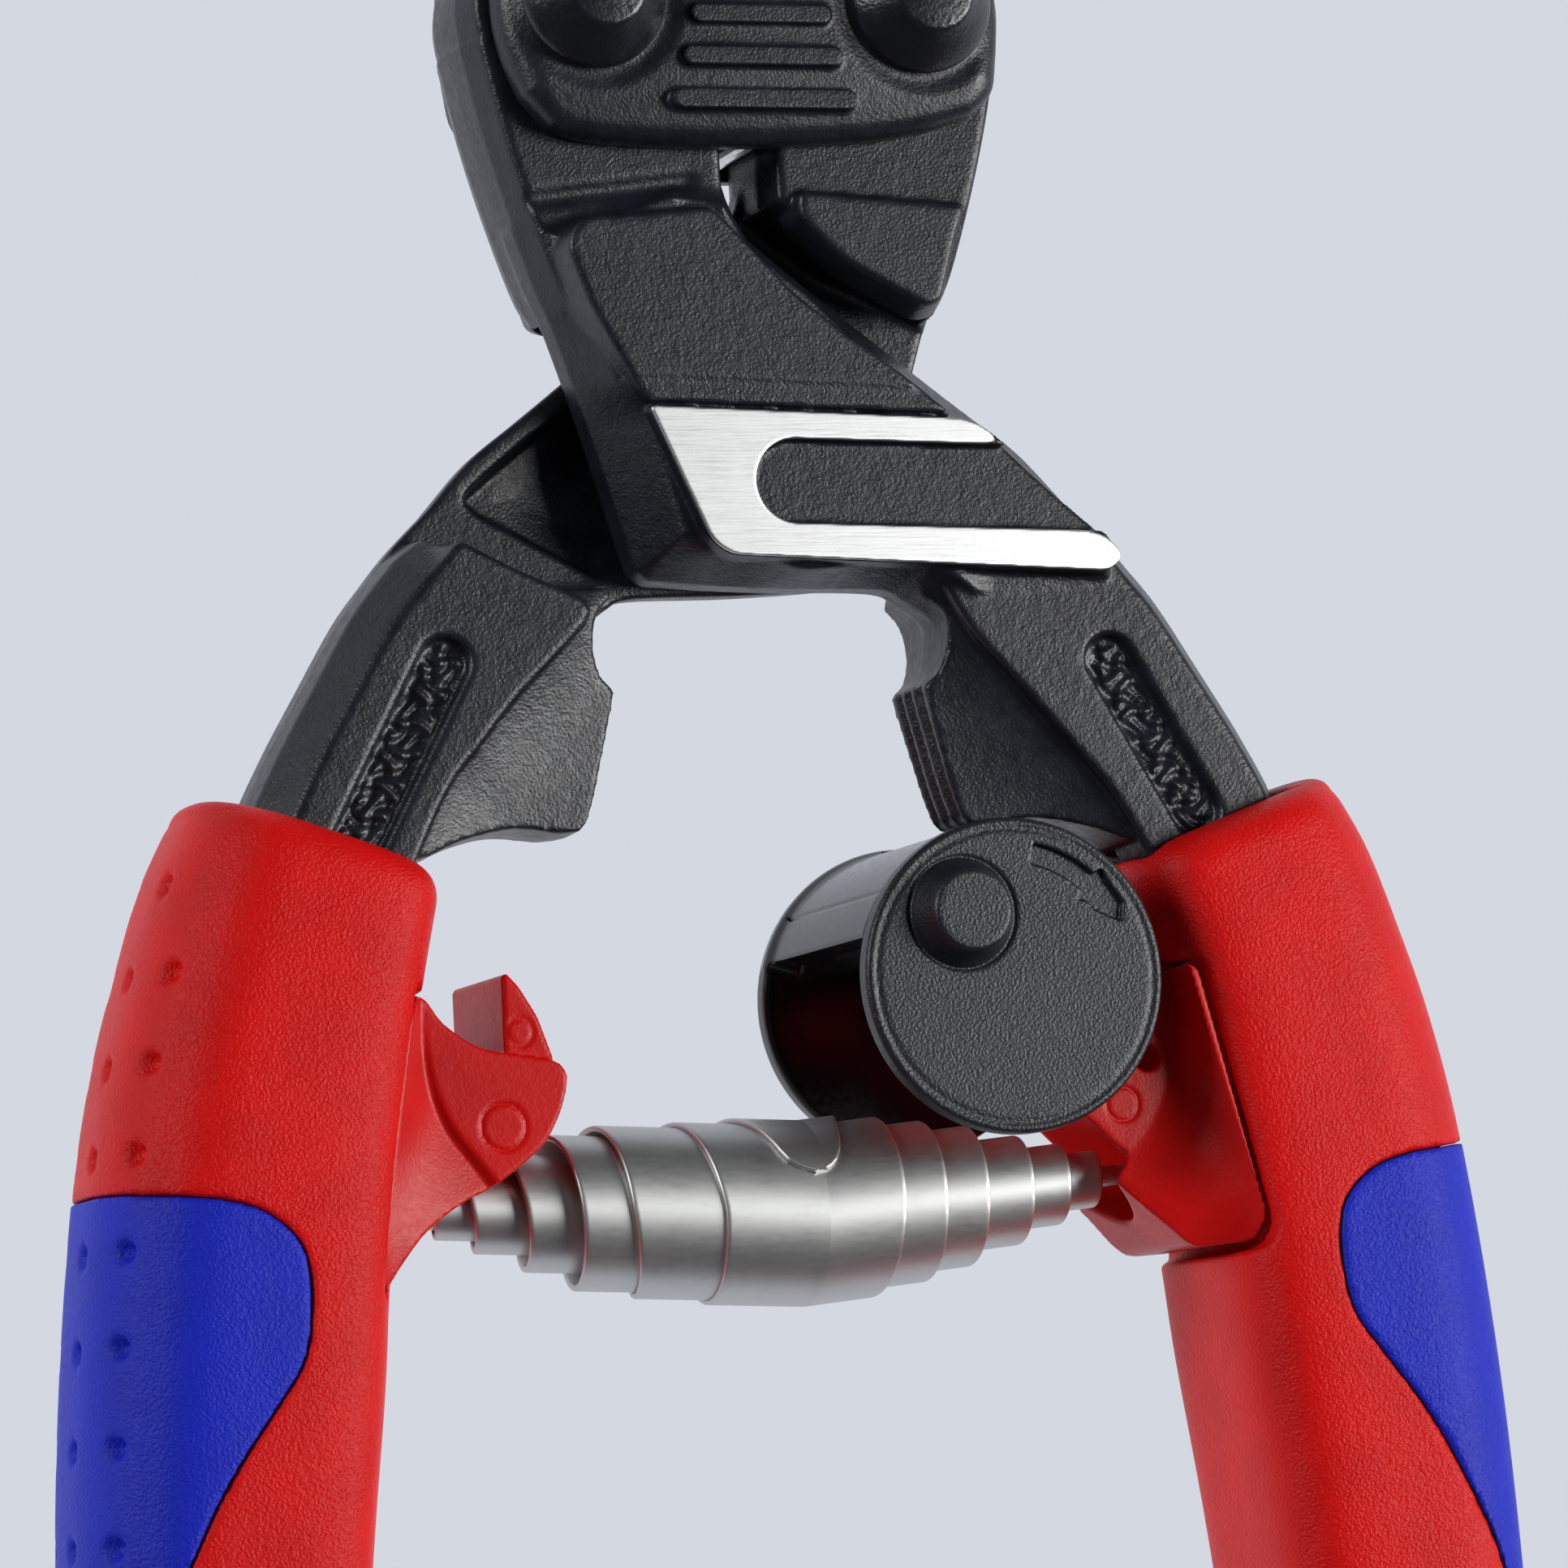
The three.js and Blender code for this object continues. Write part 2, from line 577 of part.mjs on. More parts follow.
function lockDrum() {
  const inner = DRUM_HALF - DISC_THICK;
  const wall = cut(
    sector(DRUM_X, DRUM_Y, DRUM_R - 0.2, WALL_FROM, WALL_TO, -inner - 0.2, inner - GAP),
    cylinder(DRUM_X, DRUM_Y, DRUM_R - 0.2 - DRUM_WALL, -12, 12),
  );
  const disc = cylinder(DRUM_X, DRUM_Y, DRUM_R, -DRUM_HALF, -inner, 48);
  return cut(union(disc, wall), cylinder(DRUM_X, DRUM_Y, LOCK_PIN_R + GAP, -12, -8));
}

function lockEndDisc() {
  const inner = DRUM_HALF - DISC_THICK;
  const disc = cylinder(DRUM_X, DRUM_Y, DRUM_R, inner, DRUM_HALF, 48);
  const boss = turned(...BOSS_AT, [
    [0, DRUM_HALF - 0.5], [BOSS_R, DRUM_HALF - 0.5], [BOSS_R, DRUM_HALF],
    [BOSS_TOP_R, DRUM_HALF + BOSS_RISE], [0, DRUM_HALF + BOSS_RISE],
  ]);
  return cut(union(disc, boss), cylinder(DRUM_X, DRUM_Y, LOCK_PIN_R + GAP, 8, inner + 0.9));
}

function lockPin() {
  return cylinder(DRUM_X, DRUM_Y, LOCK_PIN_R, -DRUM_HALF + 0.1, DRUM_HALF - DISC_THICK + 0.6, 24);
}

// ---------------------------------------------------------------- opening spring

// Two conical coils of flat strip, which telescope into each other between the brackets.
const SPRING_MID = [1, -76.9];
const SPRING_LEFT = [-22.6, -77.5];
const SPRING_RIGHT = [24.8, -74.9];
const SPRING_STEPS = [5.85, 5.2, 4.4, 3.5, 2.6];     // outer radius of each step
const SPRING_SHARES = [0.3, 0.19, 0.17, 0.17, 0.17];
const SPRING_START = 0.5;       // each half's distance from the middle
const STRIP = 0.7;              // each turn's wall, a few layers of strip

// One half from the middle to its small end.
function springHalf(end) {
  const dx = end[0] - SPRING_MID[0];
  const dy = end[1] - SPRING_MID[1];
  const length = Math.hypot(dx, dy);
  const outside = [];
  const inside = [];
  let along = SPRING_START;
  SPRING_STEPS.forEach((r, i) => {
    const next = along + SPRING_SHARES[i] * (length - SPRING_START);
    outside.push([r, along], [r, next]);
    inside.push([r - STRIP, along], [r - STRIP, next - STRIP]);
    along = next;
  });
  const last = inside.length - 1;
  inside[last][1] = along;
  const profile = [...outside, ...inside.reverse(), outside[0]];
  const points = profile.map(([r, z]) => new THREE.Vector2(r, z));
  const geometry = new THREE.LatheGeometry(points, 16);
  geometry.rotateZ(Math.atan2(dy, dx) - Math.PI / 2);
  geometry.translate(SPRING_MID[0], SPRING_MID[1], 0);
  return solid(geometry);
}

// ---------------------------------------------------------------- assembly

const STOP_R = 0.8;             // pin between the lever heads, which stops the opening
const STOP_Y = -8.4;
const LEVER_BOLT_HEAD = [5.3, 2.8];
const JAW_BOLT_HEAD = [6.6, 4];

const PIECES = {
  front_cover_plate: [coverPlate(), plateBlack],
  rear_cover_plate: [otherSide(coverPlate()), plateBlack],
  left_lever_bolt: [bolt(-BOLT_X, 0, LEVER_SHANK_R, ...LEVER_BOLT_HEAD), boltBlack],
  right_lever_bolt: [bolt(BOLT_X, 0, LEVER_SHANK_R, ...LEVER_BOLT_HEAD), boltBlack],
  jaw_bolt: [bolt(0, JAW_BOLT_Y, JAW_SHANK_R, ...JAW_BOLT_HEAD), boltBlack],
  left_lever_nut: [nut(-BOLT_X, 0, ...LEVER_BOLT_HEAD), boltBlack],
  right_lever_nut: [nut(BOLT_X, 0, ...LEVER_BOLT_HEAD), boltBlack],
  jaw_bolt_nut: [nut(0, JAW_BOLT_Y, ...JAW_BOLT_HEAD), boltBlack],
  stop_pin: [cylinder(0, STOP_Y, STOP_R, -PLATE_IN + 0.1, PLATE_IN - 0.1, 16), brightSteel],
  right_jaw: [openJaw(), jawSteel],
  left_jaw: [otherSide(openJaw()), jawSteel],
  right_handle_lever: [lever(), forgedBlack],
  left_handle_lever: [otherSide(lever()), forgedBlack],
  right_grip: [rightGrip(), redPlastic],
  left_grip: [leftGrip(), redPlastic],
  right_soft_zone: [rightSoftZone(), blueSoft],
  left_soft_zone: [otherSide(rightSoftZone()), blueSoft],
  right_bracket: [rightBracket(), redPlastic],
  left_bracket: [leftBracket(), redPlastic],
  lock_drum: [lockDrum(), blackPlastic],
  lock_end_disc: [lockEndDisc(), blackPlastic],
  lock_pin: [lockPin(), brightSteel],
  right_volute_spring: [springHalf(SPRING_RIGHT), springSteel],
  left_volute_spring: [springHalf(SPRING_LEFT), springSteel],
};

const boltCutters = new THREE.Group();
for (const [name, [body, material]] of Object.entries(PIECES)) {
  const mesh = new THREE.Mesh(geometryOf(body), material);
  mesh.name = name;
  boltCutters.add(mesh);
}

// The row's origin is at the middle of the base plane.
const bounds = new THREE.Box3().setFromObject(boltCutters);
const middle = bounds.getCenter(new THREE.Vector3());
boltCutters.position.set(-middle.x, -middle.y, -bounds.min.z);

export default boltCutters;
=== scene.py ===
"""Looks of the bolt cutters. Points are in the CAD's design frame in millimetres: the origin is
midway between the two lever bolts, +Y runs to the jaw tips and +Z out of the front face."""

import math
import bpy
import numpy as np
from mathutils import Matrix, Vector


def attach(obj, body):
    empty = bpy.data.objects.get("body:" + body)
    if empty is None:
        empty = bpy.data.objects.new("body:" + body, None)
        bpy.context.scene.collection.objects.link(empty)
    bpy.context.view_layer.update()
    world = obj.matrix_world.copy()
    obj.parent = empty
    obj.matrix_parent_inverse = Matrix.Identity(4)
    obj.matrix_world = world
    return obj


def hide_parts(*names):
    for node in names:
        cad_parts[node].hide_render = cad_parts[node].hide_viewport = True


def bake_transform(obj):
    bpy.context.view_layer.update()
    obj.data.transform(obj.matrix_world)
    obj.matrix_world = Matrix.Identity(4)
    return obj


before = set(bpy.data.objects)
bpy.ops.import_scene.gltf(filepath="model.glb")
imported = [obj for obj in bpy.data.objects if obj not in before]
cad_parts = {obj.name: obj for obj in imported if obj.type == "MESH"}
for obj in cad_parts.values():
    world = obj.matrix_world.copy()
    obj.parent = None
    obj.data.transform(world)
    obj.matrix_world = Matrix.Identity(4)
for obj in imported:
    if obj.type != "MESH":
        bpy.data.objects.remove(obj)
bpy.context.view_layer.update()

MM = 0.001
ORIGIN = np.array([0.0, 54.45, 11.2])       # design origin in the row frame


# -------- plan outlines

def run(points, parts=6):
    """A smooth run through points, as a list of points."""
    p = np.array(points, float)
    ends = np.vstack([2 * p[0] - p[1], p, 2 * p[-1] - p[-2]])
    out = []
    for a, b, c, d in zip(ends, ends[1:], ends[2:], ends[3:]):
        for t in np.arange(parts) / parts:
            out.append(0.5 * (2 * b + (c - a) * t + (2 * a - 5 * b + 4 * c - d) * t * t
                              + (3 * b - a - 3 * c + d) * t ** 3))
    out.append(p[-1])
    return [tuple(q) for q in out]


def rounded(points, r, parts=5):
    """A closed outline whose corners are rounded. r is one value, or one for each corner."""
    p = np.array(points, float)
    radii = np.broadcast_to(np.array(r, float), (len(p),))
    out = []
    for i, q in enumerate(p):
        before, after = p[i - 1] - q, p[(i + 1) % len(p)] - q
        reach = min(radii[i], 0.48 * np.linalg.norm(before), 0.48 * np.linalg.norm(after))
        a = q + before / np.linalg.norm(before) * reach
        b = q + after / np.linalg.norm(after) * reach
        for t in np.linspace(0, 1, parts):
            out.append(tuple((1 - t) ** 2 * a + 2 * t * (1 - t) * q + t * t * b))
    return out


# -------- distance fields

class Field:
    """A block of grid points. Distances are negative inside a body."""

    def __init__(self, low, high, step):
        self.low = np.array(low, float)
        self.step = step
        count = np.ceil((np.array(high) - self.low) / step).astype(int) + 1
        axes = [self.low[i] + step * np.arange(count[i]) for i in range(3)]
        x, y, z = [a.astype(np.float32) for a in axes]
        # X and Y span the plan, and Z is one axis deeper
        self.X, self.Y, self.Z = x[:, None], y[None, :], z[None, None, :]

    def plan(self, points):
        """Distance to a closed outline in plan."""
        X, Y = np.broadcast_arrays(self.X, self.Y)
        best = np.full(X.shape, 1e9, np.float32)
        inside = np.zeros(X.shape, bool)
        p = np.array(points, np.float32)
        for (ax, ay), (bx, by) in zip(p, np.roll(p, -1, 0)):
            ex, ey = bx - ax, by - ay
            length2 = ex * ex + ey * ey
            if length2 < 1e-8:
                continue
            t = np.clip(((X - ax) * ex + (Y - ay) * ey) / length2, 0, 1)
            best = np.minimum(best, (X - ax - t * ex) ** 2 + (Y - ay - t * ey) ** 2)
            if ay != by:
                inside ^= ((ay <= Y) != (by <= Y)) & (X < ax + (Y - ay) * ex / ey)
        return np.where(inside, -1, 1) * np.sqrt(best)

    def disc(self, x, y, r):
        """Distance to a round in plan."""
        return np.hypot(self.X - x, self.Y - y) - r

    def pill(self, a, b, r):
        """Distance in plan to a bar with round ends at a and b."""
        ex, ey = b[0] - a[0], b[1] - a[1]
        t = np.clip(((self.X - a[0]) * ex + (self.Y - a[1]) * ey) / (ex * ex + ey * ey), 0, 1)
        return np.hypot(self.X - a[0] - t * ex, self.Y - a[1] - t * ey) - r

    def slab(self, d, low, high, r=0.3):
        """A body of plan distance d between two heights, with edges rounded by r."""
        d = d[..., None] if d.ndim == 2 else d
        a = d + np.float32(r)
        b = np.abs(self.Z - (low + high) / 2) - (high - low) / 2 + r
        return (np.minimum(np.maximum(a, b), 0) + np.hypot(np.maximum(a, 0), np.maximum(b, 0))
                - np.float32(r)).astype(np.float32)


def melt(a, b, k):
    """The union of two bodies with a fillet of about k."""
    h = np.maximum(k - np.abs(a - b), 0)
    return np.minimum(a, b) - h * h / (4 * k)


def carve(a, b, k=0.01):
    """Body a without body b, the edge softened by about k."""
    return -melt(-a, b, k)


def keep(a, b, k=0.01):
    """The common part of two bodies."""
    return -melt(-a, -b, k)


def at_height(y, points):
    """The value at each y along (value, y) points."""
    p = np.array(sorted((b, a) for a, b in points))
    return np.interp(y, p[:, 0], p[:, 1])


def step_up(t):
    """A smooth step from 0 to 1 as t goes from 0 to 1."""
    t = np.clip(t, 0, 1)
    return t * t * (3 - 2 * t)


def surface(field, d):
    """Vertices and quads of the zero surface of d (a surface net)."""
    inside = d < 0
    total = np.zeros(tuple(n - 1 for n in d.shape), np.uint8)
    corners = [(i, j, k) for i in (0, 1) for j in (0, 1) for k in (0, 1)]
    for i, j, k in corners:
        total += inside[i:d.shape[0] - 1 + i, j:d.shape[1] - 1 + j, k:d.shape[2] - 1 + k]
    cells = np.argwhere((total > 0) & (total < 8))
    number = np.full(total.shape, -1, np.int32)
    number[tuple(cells.T)] = np.arange(len(cells))
    spot = np.zeros((len(cells), 3))
    count = np.zeros(len(cells))
    value = {c: d[cells[:, 0] + c[0], cells[:, 1] + c[1], cells[:, 2] + c[2]] for c in corners}
    for c in corners:
        for axis in range(3):
            if c[axis]:
                continue
            e = tuple(v + (n == axis) for n, v in enumerate(c))
            a, b = value[c], value[e]
            hit = (a < 0) != (b < 0)
            t = a[hit] / (a[hit] - b[hit])
            at = np.array(c, float)[None, :].repeat(len(t), 0)
            at[:, axis] += t
            spot[hit] += at
            count[hit] += 1
    points = field.low + (cells + spot / count[:, None]) * field.step
    quads = []
    for axis in range(3):
        u, v = (axis + 1) % 3, (axis + 2) % 3
        lo = np.take(inside, range(d.shape[axis] - 1), axis)
        hi = np.take(inside, range(1, d.shape[axis]), axis)
        edge = np.argwhere(lo != hi)
        ok = np.all((edge[:, (u, v)] > 0)
                    & (edge[:, (u, v)] < np.array(d.shape)[[u, v]] - 1), axis=1)
        edge = edge[ok]
        around = []
        for du, dv in ((-1, -1), (0, -1), (0, 0), (-1, 0)):
            at = edge.copy()
            at[:, u] += du
            at[:, v] += dv
            around.append(number[tuple(at.T)])
        quad = np.stack(around, 1)
        out = lo[tuple(edge.T)]
        quads.append(np.where(out[:, None], quad, quad[:, ::-1]))
    return points, np.vstack(quads)


# -------- pieces

def add_mesh(name, points, quads, material, body, slot):
    """A Blender object of a mesh in design millimetres, on its body if one is given."""
    mesh = bpy.data.meshes.new(name)
    points = (np.asarray(points, float) + ORIGIN) * MM
    quads = np.asarray(quads, np.int32)
    mesh.vertices.add(len(points))
    mesh.vertices.foreach_set("co", points.astype(np.float32).ravel())
    mesh.loops.add(quads.size)
    mesh.loops.foreach_set("vertex_index", quads.ravel())
    mesh.polygons.add(len(quads))
    mesh.polygons.foreach_set("loop_start", np.arange(len(quads), dtype=np.int32) * 4)
    mesh.update(calc_edges=True)
    mesh.validate()
    mesh.polygons.foreach_set("use_smooth", np.full(len(mesh.polygons), True))
    mesh.materials.append(material)
    piece = bpy.data.objects.new(name, mesh)
    bpy.context.scene.collection.objects.link(piece)
    if body:
        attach(piece, body)
    return piece


def turned_round(points):
    """The same points on the other handle: half a turn about the long axis."""
    return np.asarray(points) * np.array([-1, 1, -1])


# -------- levers

# Heights are taken from the parting line at z = 0.
LEVER_BOLT_X, JAW_PIVOT = 11, (0, 15)
LEVER_PIVOT = (-LEVER_BOLT_X, 0)
BOSS_R, FINGER_R, LEVER_BORE_R = 7.4, 8.07, 4.3
NOTCH_REACH, NOTCH_ANGLE, NOTCH_R = 8.267, math.radians(59.25), 2.05    # takes the jaw's tooth
HEAD_FACE, ARM_FACE, PAD_FACE = 4.8, 5.3, 7.5
CROSS_LOW, CROSS_FACE = 0.3, 6.3
BAND_TOP = 7.52
SLOT, SLOT_R, SLOT_FLOOR = ((1, -30.9), (30, -31.8)), 2.65, 6.5
POCKETS = ((1, ((22.5, -42.3), (27.9, -52.2))), (-1, ((22.2, -41.9), (28.6, -53.4))))
POCKET_R, POCKET_DEPTH = 1.75, 0.85
RIDGE_GAPS, RIDGE_GAP_R = (-1.75, 0, 1.75), 0.55    # grooves in the fin's gripping face

FINGER = [LEVER_PIVOT, (3, 3.4), (3, 11), (-10, 11)]
HEAD = run([(-12.8, -19.6), (-14, -17.5), (-15.7, -12.5), (-17.1, -7.5), (-18.3, -2)]) + [
    (-11, 5), (-3.4, 1.5), (-1.2, -2.5), (-1.2, -12.6), (-3.2, -14.2), (-6.1, -16.4)]
CROSS = (run([(-15.2, -14), (-14.1, -17.5), (-12.1, -23.6), (-10.5, -29), (-9.1, -34), (-8.5, -36)])
         + run([(-7.6, -36.7), (-1, -37.1), (7.6, -37.3), (9.6, -38)]) + [(13, -40), (24, -39)]
         + run([(25, -36.6), (23.3, -33.9), (20.9, -31.2), (18.2, -28.3), (15.2, -26), (12.7, -24.1),
                (8.6, -20.9), (4.4, -17.6), (0.5, -14.4)]) + [(-1.2, -11.2), (-6, -10.5)])
PAD = rounded([(-13.6, -15.6), (-12.4, -13.9), (-7, -13.5), (-3.6, -13.1), (-2.5, -14.2),
               (1.7, -18.7), (5, -21.3), (8.7, -23.8), (12.3, -26.8), (-8.3, -26.1),
               (-9.2, -25.2), (-12.2, -19.6)],
              [1.2, 1, 1, 1.2, 1, 1, 1, 1, 0.3, 0.5, 0.5, 1])
BAND = rounded([(-8.6, -26), (13.2, -26.9), (15.5, -28.6), (18.6, -31.5), (21.8, -34.2),
                (23.1, -35.9), (22, -36.9), (-3.6, -35.6), (-4.9, -34.7)],
               [0.5, 1.6, 1.2, 1, 1.6, 1.2, 1, 0.8, 0.8])
ARM = (run([(11.2, -36.8), (13.2, -40.3), (15.9, -43.4), (19.3, -47.4), (22.8, -51.9), (27, -60.5)])
       + [(36.6, -60.5)]
       + run([(36.4, -58), (34.8, -51.7), (32.7, -47.3), (29.9, -42.6), (27.3, -38.4), (25.4, -36),
              (23.6, -33.9), (20.6, -31)]) + [(17, -29.6), (14, -31)])
ARM_BACK = (run([(20.9, -34.1), (17.2, -36), (13.8, -37.5), (12.7, -38.2), (12.5, -38.9), (13.1, -39.8)])
            + run([(14.3, -41), (17.7, -44.3), (20, -47), (22.2, -49.6), (24.7, -54.3), (27.4, -60.5)])
            + [(36.6, -60.5)]
            + run([(36.4, -58), (34.8, -51.7), (32.7, -47.3), (29.9, -42.6), (27.3, -38.4),
                   (24.4, -34.9)]) + [(22.6, -33.6)])
ARM_MIDDLE = ((10, -28), (16, -34.5), (18.4, -37), (22, -43), (27, -50), (32, -60))
BACK_MIDDLE = ((20.3, -30), (20.6, -36), (22.6, -43), (27, -50), (32, -60))
FIN = ([(10.6, -36.9), (14, -37.2), (22, -36), (30, -50), (32, -57), (26, -56), (25.4, -54.6)]
       + run([(23.4, -54), (21, -53), (17.6, -52.3), (14.4, -52.6)]) + [(13.1, -52.5)]
       + run([(12.5, -51.8), (11.9, -50), (11.2, -47.2), (10.5, -44.2), (10.5, -43.4), (11.3, -42.6),
              (11.8, -41), (11.6, -39), (10.4, -37.8)]))
REAR_PAD = rounded([(-14.2, -12.8), (-3, -12), (-3, -13.6), (-5.8, -16.4), (-11.2, -19.3),
                    (-12.2, -19), (-13.4, -15)], [0.3, 0.5, 0.6, 1, 0.8, 0.6, 1])
WEB_RECESS = rounded([(-6, -19.2), (1.5, -19.1), (6, -21.4), (10.8, -24.6), (14.2, -26.8),
                      (17, -29), (19, -30.7), (17.9, -31.9), (15.9, -32.9), (12.9, -34.5), (10, -36),
                      (-4, -36)], [1, 1, 1, 1, 1, 1, 1.6, 0.8, 1, 1, 0.5, 1])


def flank(z, low=2.4, slope=0.42):
    """How far a forging's sides lean in at a height."""
    return 0.05 * np.abs(z) + slope * np.maximum(np.abs(z) - low, 0)


def lever_head(g, lean):
    """The round head on its bolt, with the finger that drives the jaw."""
    head = np.minimum(g.plan(HEAD), g.disc(*LEVER_PIVOT, BOSS_R))
    finger = keep(g.disc(*LEVER_PIVOT, FINGER_R), g.plan(FINGER))
    return g.slab(np.minimum(head, finger)[..., None] + 0.6 * lean, -HEAD_FACE, HEAD_FACE, 0.35)


def web_hollow(g):
    """The recess beside the pad. Its floor falls away towards the tool's middle."""
    web = g.plan(WEB_RECESS)
    depth = 1.7 + 1.9 * np.clip((17 - g.X) / 17, 0, 1) * step_up(-web / 3)
    return np.maximum(web[..., None] + 0.35 * (g.Z - CROSS_LOW), (g.Z - depth[..., None]) * 0.9)


def lever_crossing(g, lean, hollow):
    """The part that crosses in front of the other lever, with its recess."""
    X, Y, Z = g.X, g.Y, g.Z
    # how much the flank leans: more on the left side, less under the band
    share = 1 + 0.45 * step_up((-24 - Y) / 3) * step_up((2 - X) / 4)
    share = share - 0.55 * step_up((-33.5 - Y) / 2) * step_up((X + 7) / 3) * step_up((14 - X) / 6)
    share = share + 0.3 * step_up((X - 2) / 6)
    crossing = g.slab(g.plan(CROSS)[..., None] + lean * share[..., None], CROSS_LOW, CROSS_FACE, 0.35)
    # its upper edge slopes down to the head, and its face drops a step to the arm
    upper = (Y + 11.5 - 0.12 * (X + 4.6))[..., None]
    crossing = np.maximum(crossing, upper * 0.9 + (Z - HEAD_FACE) * 0.55)
    arm_reach = step_up((X - 11) / 4) * step_up((-(Y + 0.045 * (X - 13)) - 36.0) / 0.8)
    crossing = np.maximum(crossing, (Z - (CROSS_FACE - arm_reach[..., None])) * 0.8)
    return carve(crossing, hollow.astype(np.float32), 0.35)


def lever_arm(g, lean, hollow):
    """The arm down to the tang. Its two halves meet at the parting line in outlines of their own."""
    def outer_side(middle, width):
        return step_up((g.X - at_height(g.Y[0], middle)[None, :]) / width)[..., None]

    front = g.slab(g.plan(ARM)[..., None] + lean * 1.15 * outer_side(ARM_MIDDLE, 3), -5, ARM_FACE, 0.35)
    back = g.slab(g.plan(ARM_BACK)[..., None] + lean * 1.5 * outer_side(BACK_MIDDLE, 2),
                  -ARM_FACE, 0.6, 0.3)
    return np.minimum(np.maximum(np.maximum(front, CROSS_LOW - g.Z), -hollow), back)


def lever_fin(g):
    """The gripping fin, which gets thinner away from the arm."""
    beyond = np.maximum(np.maximum(g.plan(ARM), g.plan(ARM_BACK)), 0)
    thin = (2.3 + 2.3 * np.exp(-beyond / 5))[..., None]
    fin = np.maximum(g.plan(FIN)[..., None] + 0.3 + 0.04 * np.abs(g.Z),
                     (np.abs(g.Z) - thin) * 0.85 + 0.3)
    return (fin - 0.3).astype(np.float32)


def with_pads(g, body):
    """The body with its raised pads, and the band's seat with a moat round it and a slot."""
    X, Y, Z = g.X, g.Y, g.Z
    plan = g.plan(PAD)[..., None]
    top = PAD_FACE - 0.13 * step_up((-23.9 - 0.045 * (X + 9) - Y) / 0.5)
    pad = np.maximum(g.slab(plan + 0.12 * (Z - 6), 4, PAD_FACE, 0.3), Z - top[..., None])
    groove = np.hypot(plan - 0.3, Z - 6.35) - 0.42
    groove = groove + 2 * step_up((-24.2 - Y) / 0.6)[..., None]
    body = np.minimum(carve(body, groove.astype(np.float32), 0.2), pad)
    band = g.plan(BAND)
    body = np.minimum(body, g.slab(band - 0.02, 5, 7.3, 0.1))
    moat = g.slab(np.maximum(np.abs(band - 0.16) - 0.14, X - 21.4), 6.8, 9, 0.1)
    body = np.maximum(body, -moat)
    slot = keep(g.pill(*SLOT, SLOT_R), g.plan(CROSS) + 0.2)
    body = carve(body, g.slab(slot, SLOT_FLOOR, 9, 0.15), 0.2)
    rear = g.plan(REAR_PAD)[..., None] + 0.25 * (-Z - 5.8)
    return np.minimum(body, g.slab(rear, -5.8, -3, 0.3))


def with_pockets(g, body):
    """The body with an oblong pocket in each face of the arm. The floors are rough."""
    rough = np.sin(2.7 * g.X + 1.3 * np.sin(3.1 * g.Y)) * np.sin(3.3 * g.Y + 1.7 * np.sin(2.3 * g.X))
    for face, ends in POCKETS:
        pocket = g.pill(*ends, POCKET_R)
        depth = POCKET_DEPTH + 0.3 * rough * step_up((-pocket - 0.35) / 0.4)
        below = ARM_FACE - face * g.Z
        hole = np.maximum(pocket[..., None] + 0.35 * below, below - depth[..., None])
        body = carve(body, hole.astype(np.float32), 0.25)
    return body


def with_ridges(g, body):
    """The body with ridges along the fin's gripping face."""
    face = step_up((13.4 - g.X) / 0.4) * step_up((-43.3 - g.Y) / 0.4)
    away = (1 - face[..., None]) * 3
    for z in RIDGE_GAPS:
        gap = np.hypot(g.plan(FIN)[..., None], g.Z - z) - RIDGE_GAP_R
        body = carve(body, (gap + away).astype(np.float32), 0.1)
    return body


def lever_body(step):
    """The right lever's forging, in front where the two cross."""
    g = Field((-19.6, -60, -6.4), (38.4, 9.2, 8.1), step)
    lean = flank(g.Z).astype(np.float32)
    hollow = web_hollow(g)
    body = melt(lever_head(g, lean), lever_crossing(g, lean, hollow), 0.9)
    upper_line = g.pill((-15.6, -12.6), (-4.2, -11.2), 0)
    body = carve(body, np.hypot(upper_line[..., None], g.Z - 5.0).astype(np.float32) - 0.5, 0.5)
    body = np.minimum(melt(body, lever_fin(g), 1.1), lever_arm(g, lean, hollow))
    body = with_ridges(g, with_pockets(g, with_pads(g, body)))
    bore = g.slab(g.disc(*LEVER_PIVOT, LEVER_BORE_R), -9, 9, 0.1)
    notch = g.disc(LEVER_PIVOT[0] + NOTCH_REACH * math.cos(NOTCH_ANGLE),
                   NOTCH_REACH * math.sin(NOTCH_ANGLE), NOTCH_R)
    body = np.maximum(body, -np.minimum(bore, g.slab(notch, -9, 9, 0.1)))
    return surface(g, body.astype(np.float32))


def band_body():
    """The ground band on the crossing, with a slot open at its right end."""
    g = Field((-9.4, -37.6, 6.9), (24, -25.2, 7.9), 0.1)
    plan = keep(g.plan(BAND) + 0.05, -g.pill(*SLOT, SLOT_R + 0.05), 1.1)
    return surface(g, g.slab(plan, 7.15, BAND_TOP, 0.08))


# -------- cover plates and bolts

PLATE = (run([(-13.8, -8.1), (-10.8, -8.95), (-1.9, -9.25), (7.2, -8.8), (11.8, -8.1)])
         + run([(14.6, -7.2), (16.4, -5.3), (17, -1.8), (17, 1), (16.6, 5), (13.4, 13), (9.4, 19.4),
                (5.6, 23.2), (0, 24.6), (-5.6, 23.2), (-9.4, 19.4), (-13.4, 13), (-16.6, 5), (-17, 0),
                (-16.6, -3.2), (-15.5, -6.2)]))
PLATE_LOW, PLATE_CROWN = 5.1, 8.45
BARS, BAR_R, BAR_TOP = ((4.1, -1.1), (4.75, -3.85), (5.6, -6.6)), 0.62, 8.83    # half length and y
